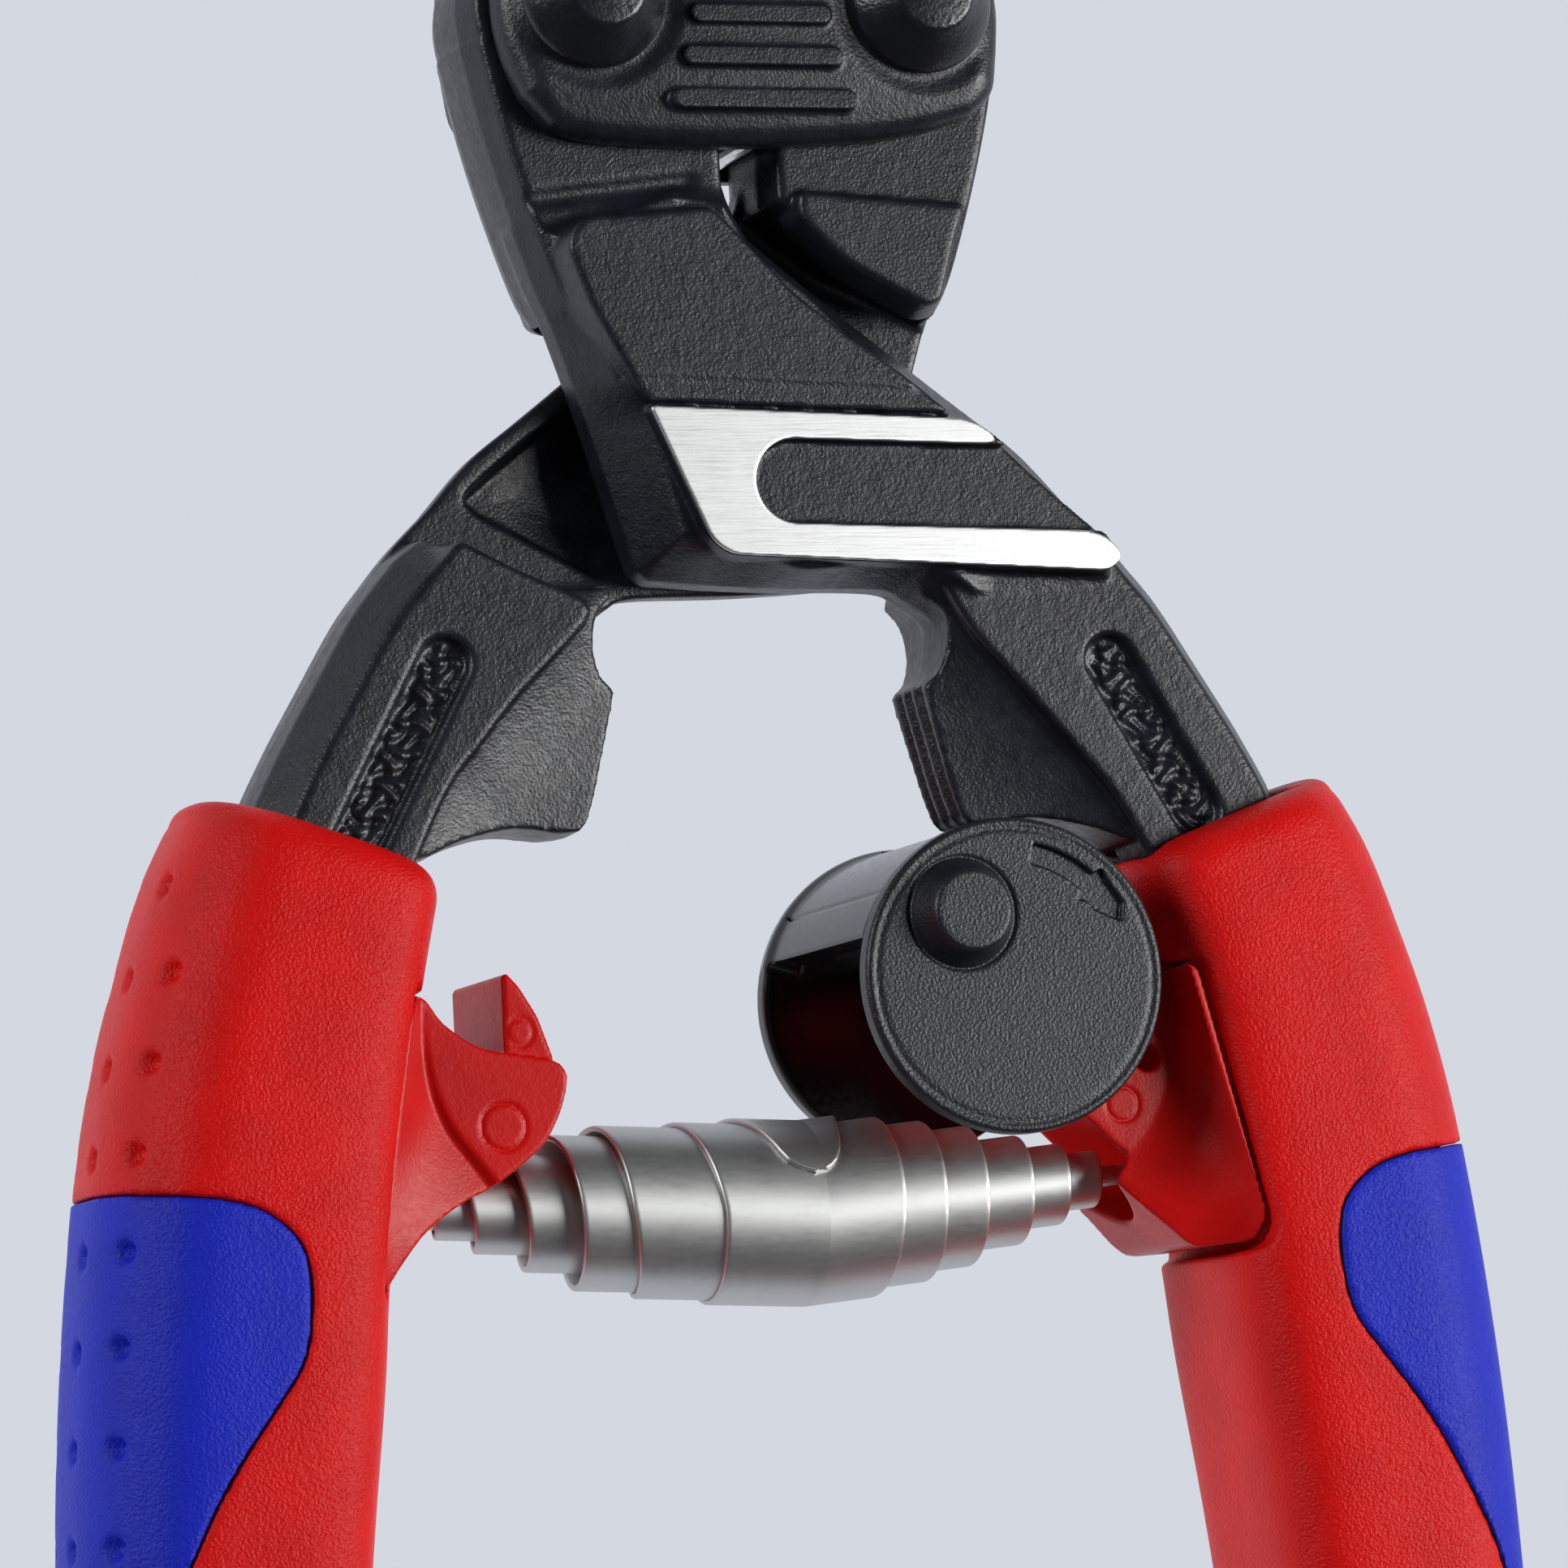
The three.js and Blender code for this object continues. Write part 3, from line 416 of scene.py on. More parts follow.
# centre, radius of the shallow ring round the bolt's head, and radius of the hole
PLATE_HOLES = ((-LEVER_BOLT_X, 0, 5.0, 4.25), (LEVER_BOLT_X, 0, 5.0, 4.25), (*JAW_PIVOT, 6.8, 4.8))


def plate_body():
    """The front cover plate: crowned, dished round the bolts, with three raised bars."""
    g = Field((-17.6, -10.5, 4.6), (17.6, 25.2, 9.3), 0.15)
    edge = g.plan(PLATE)
    round_off = 2.3 - 1.2 * step_up((-g.Y - 3.5) / 3.5)
    inner = np.clip(edge + round_off, 0, round_off)
    drop = round_off - np.sqrt(np.maximum(round_off ** 2 - inner ** 2, 0))
    crown = PLATE_CROWN - 0.0016 * (g.X ** 2 + (g.Y - 4) ** 2)
    top = crown - 0.022 * np.clip(-g.Y - 3, 0, 9) ** 2 - drop
    for x, y, ring_r, _ in PLATE_HOLES:
        ring = np.abs(np.hypot(g.X - x, g.Y - y) - ring_r)
        top = top - 0.28 * step_up(1 - ring / 1.3)
    body = np.maximum(g.slab(edge, PLATE_LOW, 9.2, 0.2), (g.Z - top[..., None]) * 0.8)
    for half, y in BARS:
        bar = g.pill((-half, y), (half, y), BAR_R)
        body = melt(body, g.slab(bar, 7, BAR_TOP, 0.06), 0.3)
    for x, y, _, hole_r in PLATE_HOLES:
        body = np.maximum(body, -g.slab(g.disc(x, y, hole_r), 0, 12, 0.1))
    return surface(g, body.astype(np.float32))


def lathe(profile, centre, sides=96):
    """Points and quads of a profile of (radius, height) pairs turned about Z at centre."""
    p = np.array(profile, float)
    turn = np.arange(sides) * 2 * math.pi / sides
    points = np.stack([np.outer(p[:, 0], np.cos(turn)) + centre[0],
                       np.outer(p[:, 0], np.sin(turn)) + centre[1],
                       np.outer(p[:, 1], np.ones(sides))], -1).reshape(-1, 3)
    row = np.arange(len(p) - 1)[:, None] * sides
    here = np.arange(sides)
    after = np.roll(here, -1)
    quads = np.stack([row + here, row + after, row + sides + after, row + sides + here], -1)
    return points, quads.reshape(-1, 4)


BOLT_TOP, SHANK_END, ON_AXIS = 11.2, -8.2, 0.001


def bolt_profile(shank, head, flat):
    """A flat top with a crisp rim, then a cone that flares out into the plate's dish."""
    flare = run([(flat + 0.12, BOLT_TOP - 0.06), (flat + 0.75, BOLT_TOP - 0.75),
                 (flat + 1.7, BOLT_TOP - 1.75), (head - 0.1, 8.75), (head, 8.35)])
    return [(ON_AXIS, BOLT_TOP - 0.02), (flat - 0.15, BOLT_TOP)] + flare + [
        (head - 0.1, 8.2), (shank, 8.2), (shank, SHANK_END), (ON_AXIS, SHANK_END)]


def nut_profile(shank, head, flat):
    """The bolt's head turned over, down to a plain face round the shank's end."""
    return [(r, -z) for r, z in bolt_profile(shank, head, flat)[:-3]] + [(3.3, SHANK_END - 0.4)]


# -------- grips

# (x, y) points of the right grip's two sides, and (z, y) points of its half thickness
OUTER = run([(38.6, -51), (40.6, -55), (42.3, -60), (44.1, -66), (45.7, -74), (47.2, -87), (48, -100),
             (48.4, -117), (48.5, -132), (48.2, -145), (47.2, -153.4)])
INNER = run([(22.4, -52), (23.2, -55.8), (24.8, -62.5), (26.5, -71), (27.8, -80), (28.5, -87),
             (30, -99), (31.7, -117), (33.1, -132), (33.9, -145), (34.6, -153.4)])
DEPTH = run([(8.5, -51), (9.1, -55), (9.5, -62), (9.66, -74), (9.66, -87), (9.4, -101), (9, -117),
             (8.6, -132), (8.1, -145), (7.6, -153.4)])
ZONE = (run([(60, -73), (49, -73.8), (43, -74.5), (39.2, -75), (36.6, -75.9), (34.7, -77.7),
             (34.1, -80), (34.3, -83.2), (35, -85.4), (36.7, -87.8), (39.6, -91.8), (42.2, -96.6),
             (44.6, -102), (46.2, -110), (47.2, -122)]) + [(60, -123)])
ZONE_DEPTH, SEAM_HALF, SEAM_DEPTH = 1.5, 0.10, 0.18
GRIP_TOP, GRIP_END, HALF_SCALE = -50.6, -151.2, 8.6
DIMPLES = [(y, z) for y in (-60.9, -66.4, -71.9, -77.8, -83.6, -89.6, -95.6, -101.6)
           for z in (-6.3, -1.5, 3.7)]
DIMPLES += [(-55.3, -3.4), (-55.3, 3.4), (-107.6, -1.5)]
DIMPLE_R, DIMPLE_DEPTH = 0.72, 0.7
CARRIER_SEAT = rounded([(21.8, -62.2), (26.4, -61.9), (30.2, -79.4), (29.6, -80.6), (22, -81.6)],
                       [0.3, 0.8, 0.9, 0.6, 0.3])
CATCH_SEAT = rounded([(30.4, -62.4), (25.3, -62.4), (28.9, -81.2), (33, -81.2)], 0.5)
# where each handle's bracket sits in its grip: the foot's seat and the web's gap, with their heights
SEATS = {1: ((CARRIER_SEAT, -8.6, 12), ([(20, -61.8), (27, -61.8), (29, -74), (20, -74)], -5, 5)),
         -1: ((CATCH_SEAT, -7.7, 7.7), ([(20, -62.6), (27, -62.6), (29, -78), (20, -78)], -6.3, 6.3))}


def grip_form(g):
    """The right grip's rounded form, before its recesses."""
    y = g.Y[0]
    outer, inner, deep = (at_height(y, c)[None, :] for c in (OUTER, INNER, DEPTH))
    middle, half = (outer + inner) / 2, (outer - inner) / 2
    u = ((g.X - middle) / half)[..., None].astype(np.float32)
    v = np.abs(g.Z / deep[..., None]).astype(np.float32)
    # the section is squarer on the inner side than on the outer
    power = 3.5 - 0.9 * np.clip(u * 1.5, -1, 1)
    u = np.abs(u) + 1e-4
    side = ((u ** power + v ** power) ** (1 / power) - 1) * HALF_SCALE
    collar = (0.94 * (g.Y - GRIP_TOP) - 0.34 * (g.X - 35))[..., None]
    collar = collar + 0.003 * g.Z ** 2
    end = (GRIP_END - g.Y)[..., None] + 0.02 * g.Z ** 2 + 0.02 * ((g.X - 41) ** 2)[..., None]
    form = keep(side, collar.astype(np.float32), 2.4)
    return keep(form, end.astype(np.float32), 4)


def dimples(g):
    """How deep the dimples on the outer flank are at each point."""
    y, z = g.Y[0], g.Z[0]
    away = np.full((y.shape[0], z.shape[1]), 9.0, np.float32)
    for dimple_y, dimple_z in DIMPLES:
        away = np.minimum(away, np.hypot((y - dimple_y)[:, None] * 0.85, z - dimple_z))
    outer_flank = step_up((g.X - at_height(y, OUTER)[None, :] + 5) / 1.5)[..., None]
    return DIMPLE_DEPTH * step_up(1.2 - away / DIMPLE_R)[None] * outer_flank


def grip_bodies(step, which):
    """The red grip and its soft zone. which is 1 for the right handle and -1 for the left."""
    g = Field((21.5, -153.6, -10.2), (49.6, -50, 10.2), step)
    form = grip_form(g)
    zone = g.plan(ZONE)[..., None]
    bore = np.minimum(g.slab(g.plan(ARM), -5.6, 5.6, 0.2), g.slab(g.plan(ARM_BACK), -5.6, 5.6, 0.2))
    red = np.maximum(form, -np.maximum(zone, -(form + ZONE_DEPTH)))
    seam = np.abs(zone) - SEAM_HALF
    red = np.maximum(red, -np.maximum(seam, -(form + SEAM_DEPTH)))
    red = np.maximum(red, -(bore - 0.25))
    soft_form = form - 0.04
    soft = np.maximum(np.maximum(soft_form, -(form + ZONE_DEPTH - 0.05)), zone + 0.05)
    pit = dimples(g)
    red = np.maximum(red, form + pit)
    soft = np.maximum(soft, soft_form + pit)
    seat, web = (g.slab(g.plan(outline), low, high, 0.2) for outline, low, high in SEATS[which])
    red = carve(red, np.minimum(seat, web), 0.3)
    return surface(g, red.astype(np.float32)), surface(g, soft.astype(np.float32))


# -------- brackets

SPRING_MID, SPRING_LEFT, SPRING_RIGHT = (1, -76.9), (-22.6, -75.5), (24.8, -74.9)
LOCK_AXIS, PIN_BORE_R = (12.6, -62.9), 2.1

CATCH = (run([(-25.6, -62.7), (-24.8, -63), (-23.7, -64.5), (-21.7, -65.9), (-19.9, -66.4),
              (-16.9, -66.9)])
         + run([(-16.3, -67.2), (-15.9, -67.9), (-16.1, -69.2), (-16.8, -70.9), (-18, -72.5),
                (-20.9, -74.6), (-22.7, -75.4), (-24.4, -76.4), (-25.9, -77.5), (-27.1, -78.8),
                (-28.5, -80.6)]) + [(-30.6, -80.6), (-28, -68)])
PRONG = rounded([(-19.7, -67.6), (-19.65, -61.6), (-19.3, -61.4), (-18.5, -62.3), (-17.4, -64.2),
                 (-16.5, -66.9), (-17, -68)], [0.3, 0.15, 0.15, 0.4, 0.4, 0.3, 0.3])
CATCH_RIDGE = run([(-25.0, -60), (-24.9, -63.2), (-24.5, -67.4), (-23.5, -70.5), (-21.7, -73),
                   (-20.2, -75)]) + [(-22, -84), (-36, -84), (-36, -60)]
CATCH_FOOT = [(-31, -62.8), (-26, -62.8), (-27, -68.2), (-28.2, -74.4), (-29.2, -80.8),
              (-31, -80.8)]
CATCH_BASE = [(-25.6, -60), (-25.9, -62.8), (-26.9, -68.2), (-28.1, -74.4), (-29.2, -80.8),
              (-29.8, -84)]
CATCH_FACE, PRONG_FACE = 5.9, 5.35
CATCH_RINGS = ((-20.2, -71, 1.45, CATCH_FACE), (-18.65, -65.1, 0.85, PRONG_FACE))
CARRIER_WEB = (run([(12.6, -59.9), (18, -60.3), (26, -61.6)]) + [(28, -72), (27.4, -77.6)]
               + run([(25.8, -76.9), (24.1, -75.8), (22, -74.4), (20.3, -73.1), (18.9, -71.8),
                      (16.4, -69), (12.6, -66)]))
CARRIER_FOOT = rounded([(23.8, -62.4), (25.9, -62.3), (29.7, -78.6), (29.1, -80.1), (25.4, -80.3),
                        (20.9, -75.9), (21.6, -74.6), (22.4, -72)],
                       [0.4, 0.8, 1, 0.6, 0.9, 0.5, 0.5, 1])
CARRIER_VALLEY = run([(25.2, -60), (25.7, -62.5), (25.5, -66), (25.1, -69), (23.8, -71.8),
                      (22.2, -73.6), (20, -74.6)]) + [(19, -84), (36, -84), (36, -60)]
CARRIER_BASE = [(24.6, -60), (25.3, -62.6), (26.4, -66.8), (28, -72.7), (29.1, -76.3), (29.9, -80),
                (30.4, -83)]
CARRIER_FACE, CARRIER_HOLE = 4.6, (23.6, -68, 0.85)
CARRIER_RING = (21.7, -70.9, 1.1, CARRIER_FACE)


def slope_up(g, low_line, crest, side):
    """The share of the way up from an outline to a crest on its side, and the distance inside it."""
    inside = np.maximum(-g.plan(low_line), 0)
    past = (g.X - at_height(g.Y[0], crest)[None, :]) * side
    return np.where(past > 0, 1, inside / (inside + np.abs(past) + 1e-3)), inside


def ejector_ring(g, x, y, r, level):
    """The fine round mark that a moulding tool's ejector leaves on both faces."""
    return np.hypot(np.hypot(g.X - x, g.Y - y)[..., None] - r, np.abs(g.Z) - level) - 0.12


def spring_well(g, end, side, slant, r, widen, mouth, floor):
    """The conical well for the spring's small end, from its floor towards the tool's middle."""
    axis_y = end[1] + slant * (end[0] - g.X)
    reach = r + widen * np.maximum((mouth - g.X) * side, 0)
    well = np.hypot((g.Y - axis_y)[..., None], g.Z) - reach[..., None]
    return np.maximum(well, ((g.X - floor) * side)[..., None])


def catch_body():
    """The left handle's bracket: the lock's catch above, the spring's seat below."""
    g = Field((-31.8, -81.6, -8), (-15.3, -60.6, 8), 0.15)
    rise, ridge = slope_up(g, CATCH_RIDGE, CATCH_BASE, -1)
    thick = CATCH_FACE + 1.7 * rise ** 1.7 - 0.55 * step_up(ridge / 0.7) * (1 - rise) ** 1.5
    web = np.maximum(g.plan(CATCH)[..., None] + 0.35, (np.abs(g.Z) - thick[..., None]) * 0.9 + 0.35)
    prong = g.slab(g.plan(PRONG), -PRONG_FACE, PRONG_FACE, 0.2)
    foot = g.slab(g.plan(CATCH_FOOT), -7.4, 7.4, 0.5)
    body = melt(np.minimum(web - 0.35, prong), foot, 0.5)
    for ring in CATCH_RINGS:
        body = np.maximum(body, -ejector_ring(g, *ring))
    body = carve(body, spring_well(g, SPRING_LEFT, -1, 0.059, 3.1, 0.38, -23, -26.2), 0.3)
    return surface(g, body.astype(np.float32))


def carrier_body():
    """The right handle's bracket: the lock's hub above, the spring's seat below."""
    g = Field((9, -82.2, -9.2), (30.8, -59.2, 9.2), 0.16)
    rise, _ = slope_up(g, CARRIER_VALLEY, CARRIER_BASE, 1)
    thick = CARRIER_FACE + 3.7 * rise ** 1.6
    foot = np.maximum(g.plan(CARRIER_FOOT)[..., None] + 0.4,
                      (np.abs(g.Z) - thick[..., None]) * 0.75 + 0.4)
    web = g.slab(g.plan(CARRIER_WEB), -CARRIER_FACE, CARRIER_FACE, 0.4)
    hub = g.slab(g.disc(*LOCK_AXIS, 3.1), -8.6, 8.6, 0.2)
    body = melt(np.minimum(web, foot - 0.4), hub, 0.5)
    hole = g.disc(*CARRIER_HOLE)[..., None]
    body = carve(body, np.maximum(hole, -(np.abs(g.Z) - 3)), 0.15)
    body = np.maximum(body, -ejector_ring(g, *CARRIER_RING))
    body = carve(body, spring_well(g, SPRING_RIGHT, 1, 0.08, 2.2, 0.42, 26, 26.3), 0.6)
    body = np.maximum(body, -g.slab(g.disc(*LOCK_AXIS, PIN_BORE_R), -12, 12, 0.1))
    return surface(g, body.astype(np.float32))


# -------- lock

DISC_R, DISC_LOW, DISC_FACE, DRUM_BACK = 10, 8.9, 10.5, -10.5
BOSS, BOSS_TOP = (9.25, -58.9), 12.6
WALL_R, WALL_FROM, WALL_TO = 9.0, 78, 163   # the wall's middle, and the degrees that it spans


def ring_run(r, a, b, parts=24):
    """Points of an arc about the lock's axis, from a to b degrees."""
    turn = np.radians(np.linspace(a, b, parts))
    return [(LOCK_AXIS[0] + r * math.cos(t), LOCK_AXIS[1] + r * math.sin(t)) for t in turn]


ARROW = (ring_run(8.45, 78, 48) + ring_run(9.1, 46.5, 46.5, 1) + ring_run(8.75, 40, 30, 6)
         + ring_run(8.05, 23.5, 23.5, 1) + ring_run(6.9, 36, 42, 4) + ring_run(6.5, 45.5, 45.5, 1)
         + ring_run(7.15, 47, 78))


def end_disc_body():
    """The front disc with a rim groove, an off-centre boss and a sunk arrow."""
    g = Field((1.9, -73.6, 8.5), (23.3, -52.2, 13.2), 0.12)
    disc = g.slab(g.disc(*LOCK_AXIS, DISC_R), DISC_LOW, DISC_FACE, 0.35)
    rim = np.abs(g.disc(*LOCK_AXIS, 9.3))[..., None] - 0.12
    disc = carve(disc, np.maximum(rim, DISC_FACE - 0.05 - g.Z), 0.15)
    slant = g.disc(*BOSS, 3.4)[..., None] + (g.Z - DISC_FACE) * 0.42
    boss = keep(slant * 0.92, g.slab(g.disc(*BOSS, 3.6), 9.5, BOSS_TOP, 0.1), 0.25)
    moat = np.hypot(g.disc(*BOSS, 3.5)[..., None], g.Z - DISC_FACE) - 0.16
    body = np.minimum(carve(disc, moat, 0.1), boss)
    body = carve(body, g.slab(g.plan(ARROW), DISC_FACE - 0.45, 12, 0.05), 0.06)
    bore = g.slab(g.disc(*LOCK_AXIS, PIN_BORE_R), 8, 9.8, 0.05)
    return surface(g, np.maximum(body, -bore).astype(np.float32))


def drum_body():
    """The rear disc and the part of a cylinder wall that closes round the catch."""
    g = Field((1.9, -73.6, -11.1), (23.3, -52.2, 9.2), 0.16)
    angle = np.degrees(np.arctan2(g.Y - LOCK_AXIS[1], g.X - LOCK_AXIS[0]))
    radius = np.hypot(g.X - LOCK_AXIS[0], g.Y - LOCK_AXIS[1])
    outside = np.maximum(WALL_FROM - angle, angle - WALL_TO) * math.radians(1) * 9.5
    outside = np.where(angle < -60, 9, outside)
    wall = np.maximum(np.abs(radius - WALL_R) - 0.8, outside)
    body = g.slab(g.disc(*LOCK_AXIS, DISC_R), DRUM_BACK, -DISC_LOW, 0.35)
    body = melt(body, g.slab(wall, -9.5, 8.6, 0.15), 0.8)
    seam = np.abs(outside + 3.0)[..., None] * 0.9 - 0.05
    mark = np.maximum(seam, np.abs(radius - WALL_R - 0.8)[..., None] - 0.08)
    body = np.maximum(body, -mark)
    bore = g.slab(g.disc(*LOCK_AXIS, PIN_BORE_R), -12, 12, 0.05)
    return surface(g, np.maximum(body, -bore).astype(np.float32))


# -------- opening spring

# One strip is wound from its rounded outer end inwards. Turns are counted from that end, and the
# strip's two edges and its outer radius are given along the spring's axis.
TURNS = (0, 0.005, 0.01, 0.02, 0.04, 0.06, 0.18, 0.4, 0.93, 1.93, 2.93, 3.93, 4.93, 5.93, 6.93, 7.93)
LEFT_EDGE = (-0.74, -1.6, -1.95, -2.4, -2.8, -3.05, -4.6, -6.2, -6.9, -12.9, -16.1, -19.3, -22.6, -24.9,
             -25.6, -25.7)
RIGHT_EDGE = (-0.7, 0.15, 0.5, 0.9, 1.3, 1.5, 2.6, 4, 5.25, 8.3, 11.4, 14.9, 17.8, 20.3, 23.4, 23.6)
LEFT_R = (6.1, 6.1, 6.1, 6.1, 6.09, 6.08, 6.02, 5.92, 5.75, 5.45, 5, 3.65, 2.65, 1.9, 1.3, 1.25)
RIGHT_R = (6.1, 6.1, 6.1, 6.1, 6.09, 6.08, 6.02, 5.92, 5.75, 5.15, 4.55, 3.5, 2.6, 1.8, 1.25, 1.15)
LAST_TURN, ROUND_END = 7.4, 0.06            # in turns
STRIP, STRIP_EDGE = 0.42, 0.13              # thickness, and how far its edges are rounded
TIP_ANGLE = math.radians(66)                # the rounded end, from the top towards the front
TIP_FROM, TIP_SLOPE = 20.5, 0.25            # the right half's small end narrows to a tip


def strip_half(end, sign):
    """One half of the spring, from its middle to its small end. sign is 1 for the right half."""
    mid = np.array(SPRING_MID)
    axis = (np.array(end) - mid) / np.linalg.norm(np.array(end) - mid)
    steps = np.concatenate([np.arange(0, ROUND_END, 1 / 400), np.arange(ROUND_END, LAST_TURN, 1 / 72)])
    if sign > 0:
        # the right edge moves only while it is behind the spring
        whole, part = np.floor(steps + 0.07), (steps + 0.07) % 1
        held = whole + step_up((part - 0.28) / 0.5) - 0.07
        reach = np.interp(np.where(steps > 0.93, held, steps), TURNS, RIGHT_EDGE)
    else:
        reach = -np.interp(steps, TURNS, LEFT_EDGE)
    radius = np.interp(steps, TURNS, RIGHT_R if sign > 0 else LEFT_R)
    angle = TIP_ANGLE - 2 * math.pi * steps
    # sections stay upright, so that both halves have the same section where they meet
    upright = np.array([0, 1])
    rows = []
    for s, r, a in zip(reach, radius, angle):
        last = r - TIP_SLOPE * max(s - TIP_FROM, 0) * (sign > 0)
        near = min(0, s - 3 * STRIP_EDGE)
        section = [(near, r), (s - 2.5 * STRIP_EDGE, last), (s - STRIP_EDGE, last),
                   (s - 0.3 * STRIP_EDGE, last - 0.04), (s, last - STRIP_EDGE),
                   (s, last - STRIP + STRIP_EDGE), (s - STRIP_EDGE, last - STRIP), (near, r - STRIP)]
        rows.append([(*(mid + axis * along + upright * (rho * math.cos(a))), rho * math.sin(a))
                     for along, rho in section])
    points = np.array(rows).reshape(-1, 3)
    across = len(rows[0])
    corner = np.array([i * across + j for i in range(len(rows) - 1) for j in range(across - 1)])
    quads = corner[:, None] + (0, 1, across + 1, across)
    return points, quads if sign > 0 else quads[:, ::-1]


# -------- jaws

# The right jaw, closed. It is turned to its open place at the end.
BLADE = (rounded([(0.15, 23.2), (0.15, 44), (1.4, 45)], [0.1, 0.2, 0.4])
         + run([(3.4, 44.6), (8, 41.6), (11.6, 36), (12.8, 30), (11.4, 23.6), (8, 17)]) + [(2, 19)])
JAW_FACE, LAP, HUB_R, JAW_BORE_R = 4.8, 0.3, 8, 4.8
JAW_OPEN = math.radians(8.8)
# towards the lever's notch
TAIL_ANGLE = math.atan2(JAW_PIVOT[1], LEVER_BOLT_X) + math.pi + math.radians(4.4)
TAIL_HALF = math.radians(18)
TAIL_R, TOOTH_REACH, TOOTH_R = 10.133, 10.333, 1.7


def jaw_spot(reach, angle):
    """A plan point at a reach and an angle from the jaw bolt."""
    return JAW_PIVOT[0] + reach * math.cos(angle), JAW_PIVOT[1] + reach * math.sin(angle)


def jaw_body():
    """The blade with its cutting bevels, lapped to half at the bolt, and the geared tail."""
    g = Field((-9.6, 4, -5.6), (13.8, 46.2, 5.6), 0.2)
    X, Y, Z = g.X, g.Y, g.Z
    blade = g.plan(BLADE)
    thin = JAW_FACE - 0.5 * step_up((Y - 30) / 15) - 0.25 * step_up((-blade) / 4)
    rim, face = blade[..., None] + 0.4, np.abs(Z) - thin[..., None] + 0.4
    body = np.minimum(np.maximum(rim, face), 0) + np.hypot(np.maximum(rim, 0), np.maximum(face, 0)) - 0.4
    bevel = (np.abs(Z) - 0.3) * 0.56 - (X - 0.15)[..., None] * 0.83
    bevel = keep(bevel, (22.6 - Y)[..., None], 0.5)
    body = keep(body, np.where(Y[..., None] > 21, bevel, -9), 0.05)
    body = np.maximum(body, -g.slab(g.disc(*JAW_PIVOT, HUB_R + 0.3), -8, LAP, 0.1))
    hub = g.slab(g.disc(*JAW_PIVOT, HUB_R), LAP, JAW_FACE, 0.35)
    sector = [JAW_PIVOT, jaw_spot(14, TAIL_ANGLE - TAIL_HALF), jaw_spot(14, TAIL_ANGLE + TAIL_HALF)]
    tail = keep(g.disc(*JAW_PIVOT, TAIL_R), g.plan(sector))
    tooth = g.disc(*jaw_spot(TOOTH_REACH, TAIL_ANGLE), TOOTH_R)
    gear = g.slab(melt(tail, tooth, 0.3), LAP, JAW_FACE, 0.3)
    body = melt(np.minimum(body, hub), gear, 0.3)
    body = np.maximum(body, -g.slab(g.disc(*JAW_PIVOT, JAW_BORE_R), -9, 9, 0.1))
    points, quads = surface(g, body.astype(np.float32))
    # x follows the turned points, so the open jaw comes out about 2 % shorter than the CAD's
    x, y = points[:, 0], points[:, 1] - JAW_PIVOT[1]
    points[:, 0] = x * math.cos(JAW_OPEN) + y * math.sin(JAW_OPEN)
    points[:, 1] = JAW_PIVOT[1] - x * math.sin(JAW_OPEN) + y * math.cos(JAW_OPEN)
    return points, quads


# -------- materials

def node_material(name, colour, roughness, metallic=0.0, **sockets):
    """A Principled material with its node tree, ready for texture nodes."""
    material = bpy.data.materials.new(name)
    material.use_nodes = True
    nodes, links = material.node_tree.nodes, material.node_tree.links
    shader = nodes["Principled BSDF"]
    shader.inputs["Base Color"].default_value = (*colour, 1)
    shader.inputs["Roughness"].default_value = roughness
    shader.inputs["Metallic"].default_value = metallic
    for key, value in sockets.items():
        shader.inputs[key.replace("_", " ")].default_value = value
    return material, nodes, links, shader


def place(nodes, links, scale=(1, 1, 1)):
    """Object coordinates, in millimetres, stretched by scale."""
    where = nodes.new("ShaderNodeTexCoord")
    mapping = nodes.new("ShaderNodeMapping")
    mapping.inputs["Scale"].default_value = [1000 * s for s in scale]
    links.new(where.outputs["Object"], mapping.inputs["Vector"])
    return mapping.outputs["Vector"]


def noise(nodes, links, vector, scale, detail, rough=0.5):
    """Noise with about scale lumps to the millimetre, where the vector isn't stretched."""
    texture = nodes.new("ShaderNodeTexNoise")
    texture.inputs["Scale"].default_value = scale
    texture.inputs["Detail"].default_value = detail
    texture.inputs["Roughness"].default_value = rough
    links.new(vector, texture.inputs["Vector"])
    return texture.outputs["Fac"]


def ramp(nodes, links, value, stops):
    """A colour ramp of (position, colour or grey) stops."""
    node = nodes.new("ShaderNodeValToRGB")
    elements = node.color_ramp.elements
    while len(elements) < len(stops):
        elements.new(0.5)
    for element, (position, colour) in zip(elements, stops):
        element.position = position
        grey = isinstance(colour, (int, float))
        element.color = (colour, colour, colour, 1) if grey else (*colour, 1)
    links.new(value, node.inputs["Fac"])
    return node.outputs["Color"]


def bump(nodes, links, shader, height, distance, under=None):
    """Bumps of a height field, distance millimetres high, on top of the bumps under them."""
    node = nodes.new("ShaderNodeBump")
    node.inputs["Distance"].default_value = distance * MM
    node.inputs["Strength"].default_value = 1.0
    links.new(height, node.inputs["Height"])
    if under is not None:
        links.new(under, node.inputs["Normal"])
    links.new(node.outputs["Normal"], shader.inputs["Normal"])
    return node.outputs["Normal"]


def grain(nodes, links, shader, at, sizes):
    """Bumps on top of each other. sizes holds (noise scale per mm, height in mm, detail)."""
    under = None
    for scale, height, detail in sizes:
        lumps = noise(nodes, links, at, scale, detail)
        under = bump(nodes, links, shader, lumps, height, under)


